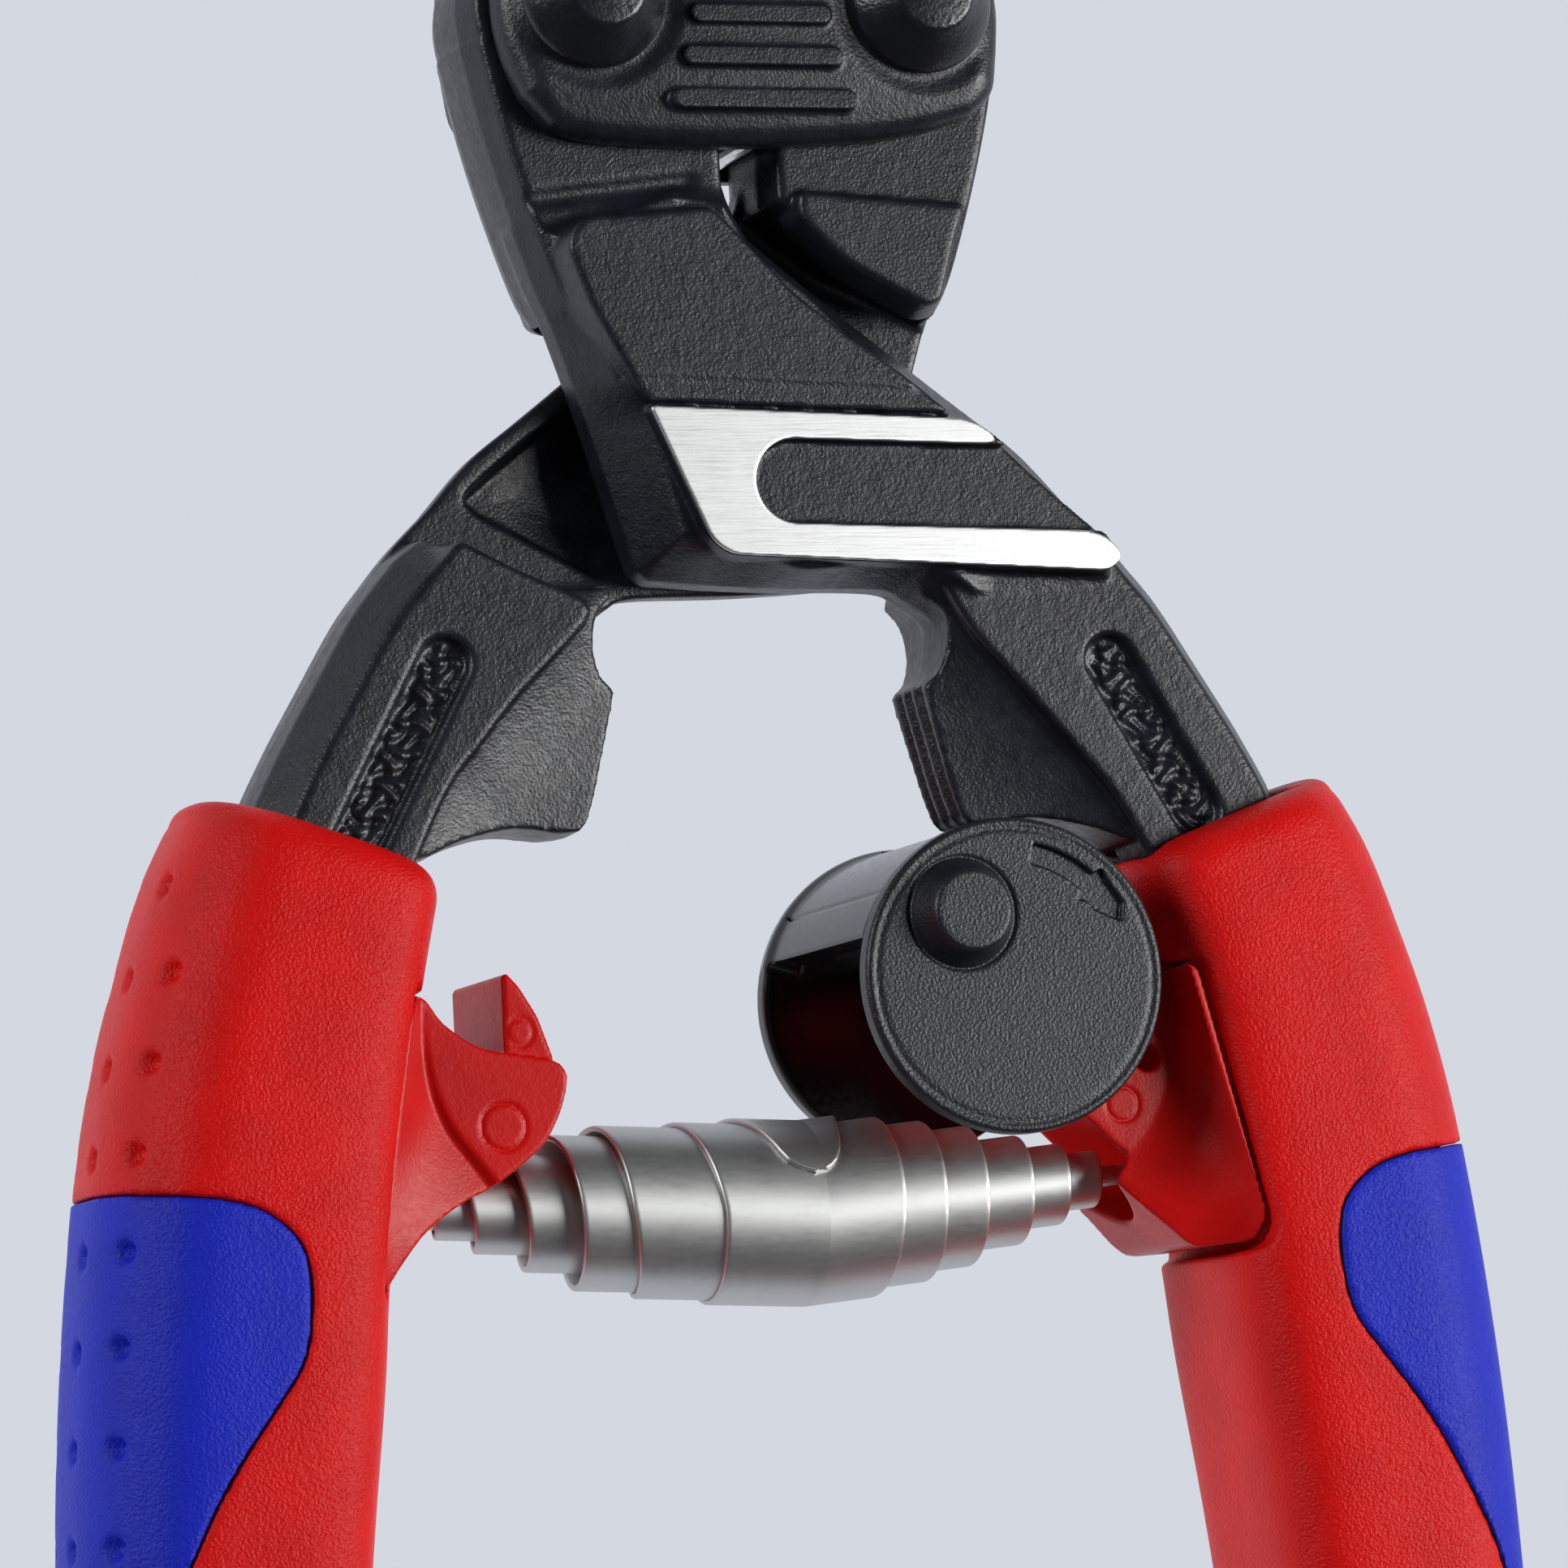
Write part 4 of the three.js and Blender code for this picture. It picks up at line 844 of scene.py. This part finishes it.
def skin(name, colour, roughness, sizes, shades, scales, gloss, detail, **sockets):
    """A grainy skin whose colour and gloss drift. shades are its darkest and lightest share."""
    material, nodes, links, shader = node_material(name, colour, roughness, **sockets)
    at = place(nodes, links)
    low, high = ([min(c * share, 1) for c in colour] for share in shades)
    drift = noise(nodes, links, at, scales[0], detail)
    links.new(ramp(nodes, links, drift, [(0.35, low), (0.65, high)]), shader.inputs["Base Color"])
    drift = noise(nodes, links, at, scales[1], detail)
    stops = [(0.3, roughness - gloss[0]), (0.7, roughness + gloss[1])]
    links.new(ramp(nodes, links, drift, stops), shader.inputs["Roughness"])
    grain(nodes, links, shader, at, sizes)
    return material


def forging(name, tone, roughness):
    """Black scale over a forging: fine leathery grain and a slightly uneven gloss."""
    sizes = ((1.2, 0.035, 2), (5.0, 0.042, 2))
    return skin(name, tone, roughness, sizes, (0.7, 1.3), (0.45, 1.6), (0.05, 0.07), 4)


def moulded(name, colour, roughness, sizes, **sockets):
    """Moulded plastic: an even colour that drifts a little, with a fine textured skin."""
    return skin(name, colour, roughness, sizes, (0.94, 1.06), (0.25, 2.2), (0.04, 0.05), 3, **sockets)


def metal(name, colour, roughness, stretch, scratch, dirt=0.25, wear=0.1):
    """Worked steel: streaks along the machining, with faint stains and uneven gloss."""
    material, nodes, links, shader = node_material(name, colour, roughness, 1.0)
    streaks = noise(nodes, links, place(nodes, links, stretch), 1.0, 5, 0.62)
    stains = noise(nodes, links, place(nodes, links), 0.5, 4, 0.6)
    low, high = [c * (1 - dirt) for c in colour], [min(c * 1.08, 1) for c in colour]
    mix = nodes.new("ShaderNodeMath")
    mix.operation = "ADD"
    links.new(streaks, mix.inputs[0])
    links.new(stains, mix.inputs[1])
    links.new(ramp(nodes, links, mix.outputs[0], [(0.55, low), (1.0, high)]),
              shader.inputs["Base Color"])
    links.new(ramp(nodes, links, streaks, [(0.3, roughness - wear), (0.7, roughness + wear)]),
              shader.inputs["Roughness"])
    bump(nodes, links, shader, streaks, scratch)
    return material


FORGED = forging("forged_black", (0.009, 0.011, 0.017), 0.36)
PLATE_BLACK = forging("plate_black", (0.010, 0.012, 0.018), 0.37)
BOLT_BLACK = moulded("bolt_black", (0.008, 0.010, 0.014), 0.27, ((1.5, 0.02, 2), (4.0, 0.03, 2)))
GROUND = metal("ground_steel", (0.66, 0.67, 0.67), 0.40, (0.3, 7, 1), 0.008, 0.08, 0.05)
JAW_STEEL = metal("jaw_steel", (0.30, 0.31, 0.33), 0.32, (0.4, 4, 0.4), 0.015, 0.2)
SPRING_STEEL = metal("spring_steel", (0.54, 0.55, 0.54), 0.45, (0.8, 3, 3), 0.001, 0.06, 0.02)
BRIGHT = metal("bright_steel", (0.75, 0.75, 0.74), 0.25, (2, 2, 2), 0.01, 0.12)
RED = moulded("red_plastic", (0.72, 0.0040, 0.0034), 0.42, ((1.3, 0.03, 2), (4.8, 0.11, 2)),
              Specular_IOR_Level=0.20)
RED_SMOOTH = moulded("red_bracket", (0.62, 0.0050, 0.0045), 0.36, ((1.4, 0.01, 2), (5.0, 0.02, 2)),
                     Specular_IOR_Level=0.22)
BLUE = moulded("blue_soft", (0.006, 0.018, 0.52), 0.50, ((1.3, 0.03, 2), (4.8, 0.095, 2)),
               Specular_IOR_Level=0.26)
BLACK = moulded("black_plastic", (0.011, 0.013, 0.018), 0.38, ((2.0, 0.01, 2), (5.2, 0.055, 2)))
# The lock drum's glossy black plastic, painted darker than the end disc's black as painted shade, so
# that the inside of the drum's open side comes out pitch black.
SHADED_GLOSS_BLACK = moulded("black_wall_shaded", (0.004, 0.005, 0.007), 0.2, ((1.0, 0.01, 2),))


# -------- assembly

RIGHT, LEFT = "right_handle", "left_handle"
LEVER_STEP, GRIP_STEP = 0.22, 0.3
# name, nut's node, centre, and the radii of the shank, the head and the head's flat
BOLTS = (("left_lever", "left_lever_nut", (-LEVER_BOLT_X, 0), 4, 4.75, 2.4),
         ("right_lever", "right_lever_nut", (LEVER_BOLT_X, 0), 4, 4.75, 2.4),
         ("jaw", "jaw_bolt_nut", JAW_PIVOT, 4.5, 6.6, 3.9))


def stand_in(node, name, shape, material, body, slot):
    """A detailed piece that is shown in place of a CAD node."""
    piece = add_mesh(name, *shape, material, body, slot)
    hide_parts(node)


def turned(shape):
    """The same shape on the other handle."""
    points, quads = shape
    return turned_round(points), quads


def add_levers():
    forging = lever_body(LEVER_STEP)
    stand_in("right_handle_lever", "front_lever_forging", forging, FORGED, RIGHT, "forged_black")
    stand_in("left_handle_lever", "rear_lever_forging", turned(forging), FORGED, LEFT, "forged_black")
    band = band_body()
    add_mesh("front_ground_band", *band, GROUND, RIGHT, "ground_steel")
    add_mesh("rear_ground_band", *turned(band), GROUND, LEFT, "ground_steel")


def add_head():
    plate = plate_body()
    stand_in("front_cover_plate", "front_plate_shell", plate, PLATE_BLACK, "head", "plate_black")
    stand_in("rear_cover_plate", "rear_plate_shell", turned(plate), PLATE_BLACK, "head", "plate_black")
    for name, nut, centre, *radii in BOLTS:
        bolt = lathe(bolt_profile(*radii), centre)
        stand_in(name + "_bolt", name + "_bolt_turned", bolt, BOLT_BLACK, "head", "bolt_black")
        points, quads = lathe(nut_profile(*radii), centre)
        stand_in(nut, name + "_nut_turned", (points, quads[:, ::-1]), BOLT_BLACK, "head", "bolt_black")
    for node in ("stop_pin", "lock_pin"):
        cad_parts[node].data.materials.clear()
        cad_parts[node].data.materials.append(BRIGHT)
    jaw = jaw_body()
    stand_in("right_jaw", "right_jaw_blade", jaw, JAW_STEEL, "right_jaw_body", "jaw_steel")
    stand_in("left_jaw", "left_jaw_blade", turned(jaw), JAW_STEEL, "left_jaw_body", "jaw_steel")


def add_grips():
    for side, body, which in (("right", RIGHT, 1), ("left", LEFT, -1)):
        red, soft = grip_bodies(GRIP_STEP, which)
        if which < 0:
            red, soft = turned(red), turned(soft)
        stand_in(side + "_grip", side + "_grip_shell", red, RED, body, "red_plastic")
        stand_in(side + "_soft_zone", side + "_soft_cover", soft, BLUE, body, "blue_soft")


def add_brackets_and_lock():
    stand_in("left_bracket", "left_catch_bracket", catch_body(), RED_SMOOTH, LEFT, "red_plastic")
    stand_in("right_bracket", "right_carrier_bracket", carrier_body(), RED_SMOOTH, RIGHT, "red_plastic")
    stand_in("lock_drum", "lock_drum_moulding", drum_body(), SHADED_GLOSS_BLACK, "lock", "black_plastic")
    stand_in("lock_end_disc", "lock_disc_moulding", end_disc_body(), BLACK, "lock", "black_plastic")


def add_spring():
    """Both halves of the spring, each as a fixed mesh in its place."""
    def spot(end, share):
        plan = np.array(SPRING_MID) + share * (np.array(end) - SPRING_MID)
        return (*((plan + ORIGIN[:2]) * MM), ORIGIN[2] * MM)

    for side, end, body, sign in (("right", SPRING_RIGHT, RIGHT, 1), ("left", SPRING_LEFT, LEFT, -1)):
        half = strip_half(end, sign)
        piece = add_mesh(side + "_spring_strip", *half, SPRING_STEEL, None, "spring_steel")
        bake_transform(piece)
        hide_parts(side + "_volute_spring")


add_levers()
add_head()
add_grips()
add_brackets_and_lock()
add_spring()


# -------- camera, light and floor

# The camera looks at the tool's middle from its left and a little from the handles' side.
CAMERA_YAW, CAMERA_PITCH, CAMERA_ROLL = (math.radians(a) for a in (19.94, 6.066, -3.362))
CAMERA_TARGET, CAMERA_DISTANCE = (1.648, -49.35, 0), 466.94
SENSOR, LENS = 36, 167.7
LIGHT_TARGET = (0, 0.005, 0.01)
FLOOR_LEVEL = -0.25


def add_camera():
    """A long lens on the tool's middle."""
    back = Vector((-math.sin(CAMERA_YAW) * math.cos(CAMERA_PITCH), -math.sin(CAMERA_PITCH),
                   math.cos(CAMERA_YAW) * math.cos(CAMERA_PITCH)))
    right = Vector((math.cos(CAMERA_YAW), 0, math.sin(CAMERA_YAW)))
    up = back.cross(right)
    x = right * math.cos(CAMERA_ROLL) + up * math.sin(CAMERA_ROLL)
    y = up * math.cos(CAMERA_ROLL) - right * math.sin(CAMERA_ROLL)
    spot = (Vector(CAMERA_TARGET) + Vector(ORIGIN) + back * CAMERA_DISTANCE) * MM
    data = bpy.data.cameras.new("camera")
    data.sensor_width = SENSOR
    data.lens = LENS
    camera = bpy.data.objects.new("camera", data)
    bpy.context.scene.collection.objects.link(camera)
    camera.matrix_world = Matrix.Translation(spot) @ Matrix((x, y, back)).transposed().to_4x4()
    bpy.context.scene.camera = camera


def add_area(name, spot, size, power, colour):
    """A soft box that is aimed at the tool."""
    data = bpy.data.lights.new(name, "AREA")
    data.shape = "RECTANGLE"
    data.size, data.size_y = size
    data.energy = power
    data.color = colour
    light = bpy.data.objects.new(name, data)
    bpy.context.scene.collection.objects.link(light)
    light.location = spot
    way = Vector(LIGHT_TARGET) - Vector(spot)
    light.rotation_euler = way.to_track_quat("-Z", "Y").to_euler()


def add_floor():
    """A plain pale floor that glows evenly, so that it shows no shadows."""
    material, _, _, shader = node_material("floor", (0.0, 0.0, 0.0), 1.0)
    shader.inputs["Specular IOR Level"].default_value = 0
    shader.inputs["Emission Color"].default_value = (0.658, 0.686, 0.753, 1)
    shader.inputs["Emission Strength"].default_value = 1
    mesh = bpy.data.meshes.new("floor")
    corners = [(x, y, FLOOR_LEVEL) for x, y in ((-3, -3), (3, -3), (3, 3), (-3, 3))]
    mesh.from_pydata(corners, [], [(0, 1, 2, 3)])
    mesh.materials.append(material)
    floor = bpy.data.objects.new("floor", mesh)
    bpy.context.scene.collection.objects.link(floor)


def add_world():
    """A faint even light from all round."""
    world = bpy.data.worlds.new("studio")
    world.use_nodes = True
    background = world.node_tree.nodes["Background"]
    background.inputs["Color"].default_value = (0.5, 0.53, 0.58, 1)
    background.inputs["Strength"].default_value = 0.12
    bpy.context.scene.world = world


add_camera()
add_area("front_softbox", (0.90, 0.0, 0.80), (0.45, 0.8), 14, (1, 0.99, 0.98))
add_area("left_key", (-1.6, 0.6, 0.6), (0.6, 0.6), 15, (0.97, 0.98, 1))
add_floor()
add_world()
bpy.context.scene.view_settings.view_transform = "Standard"
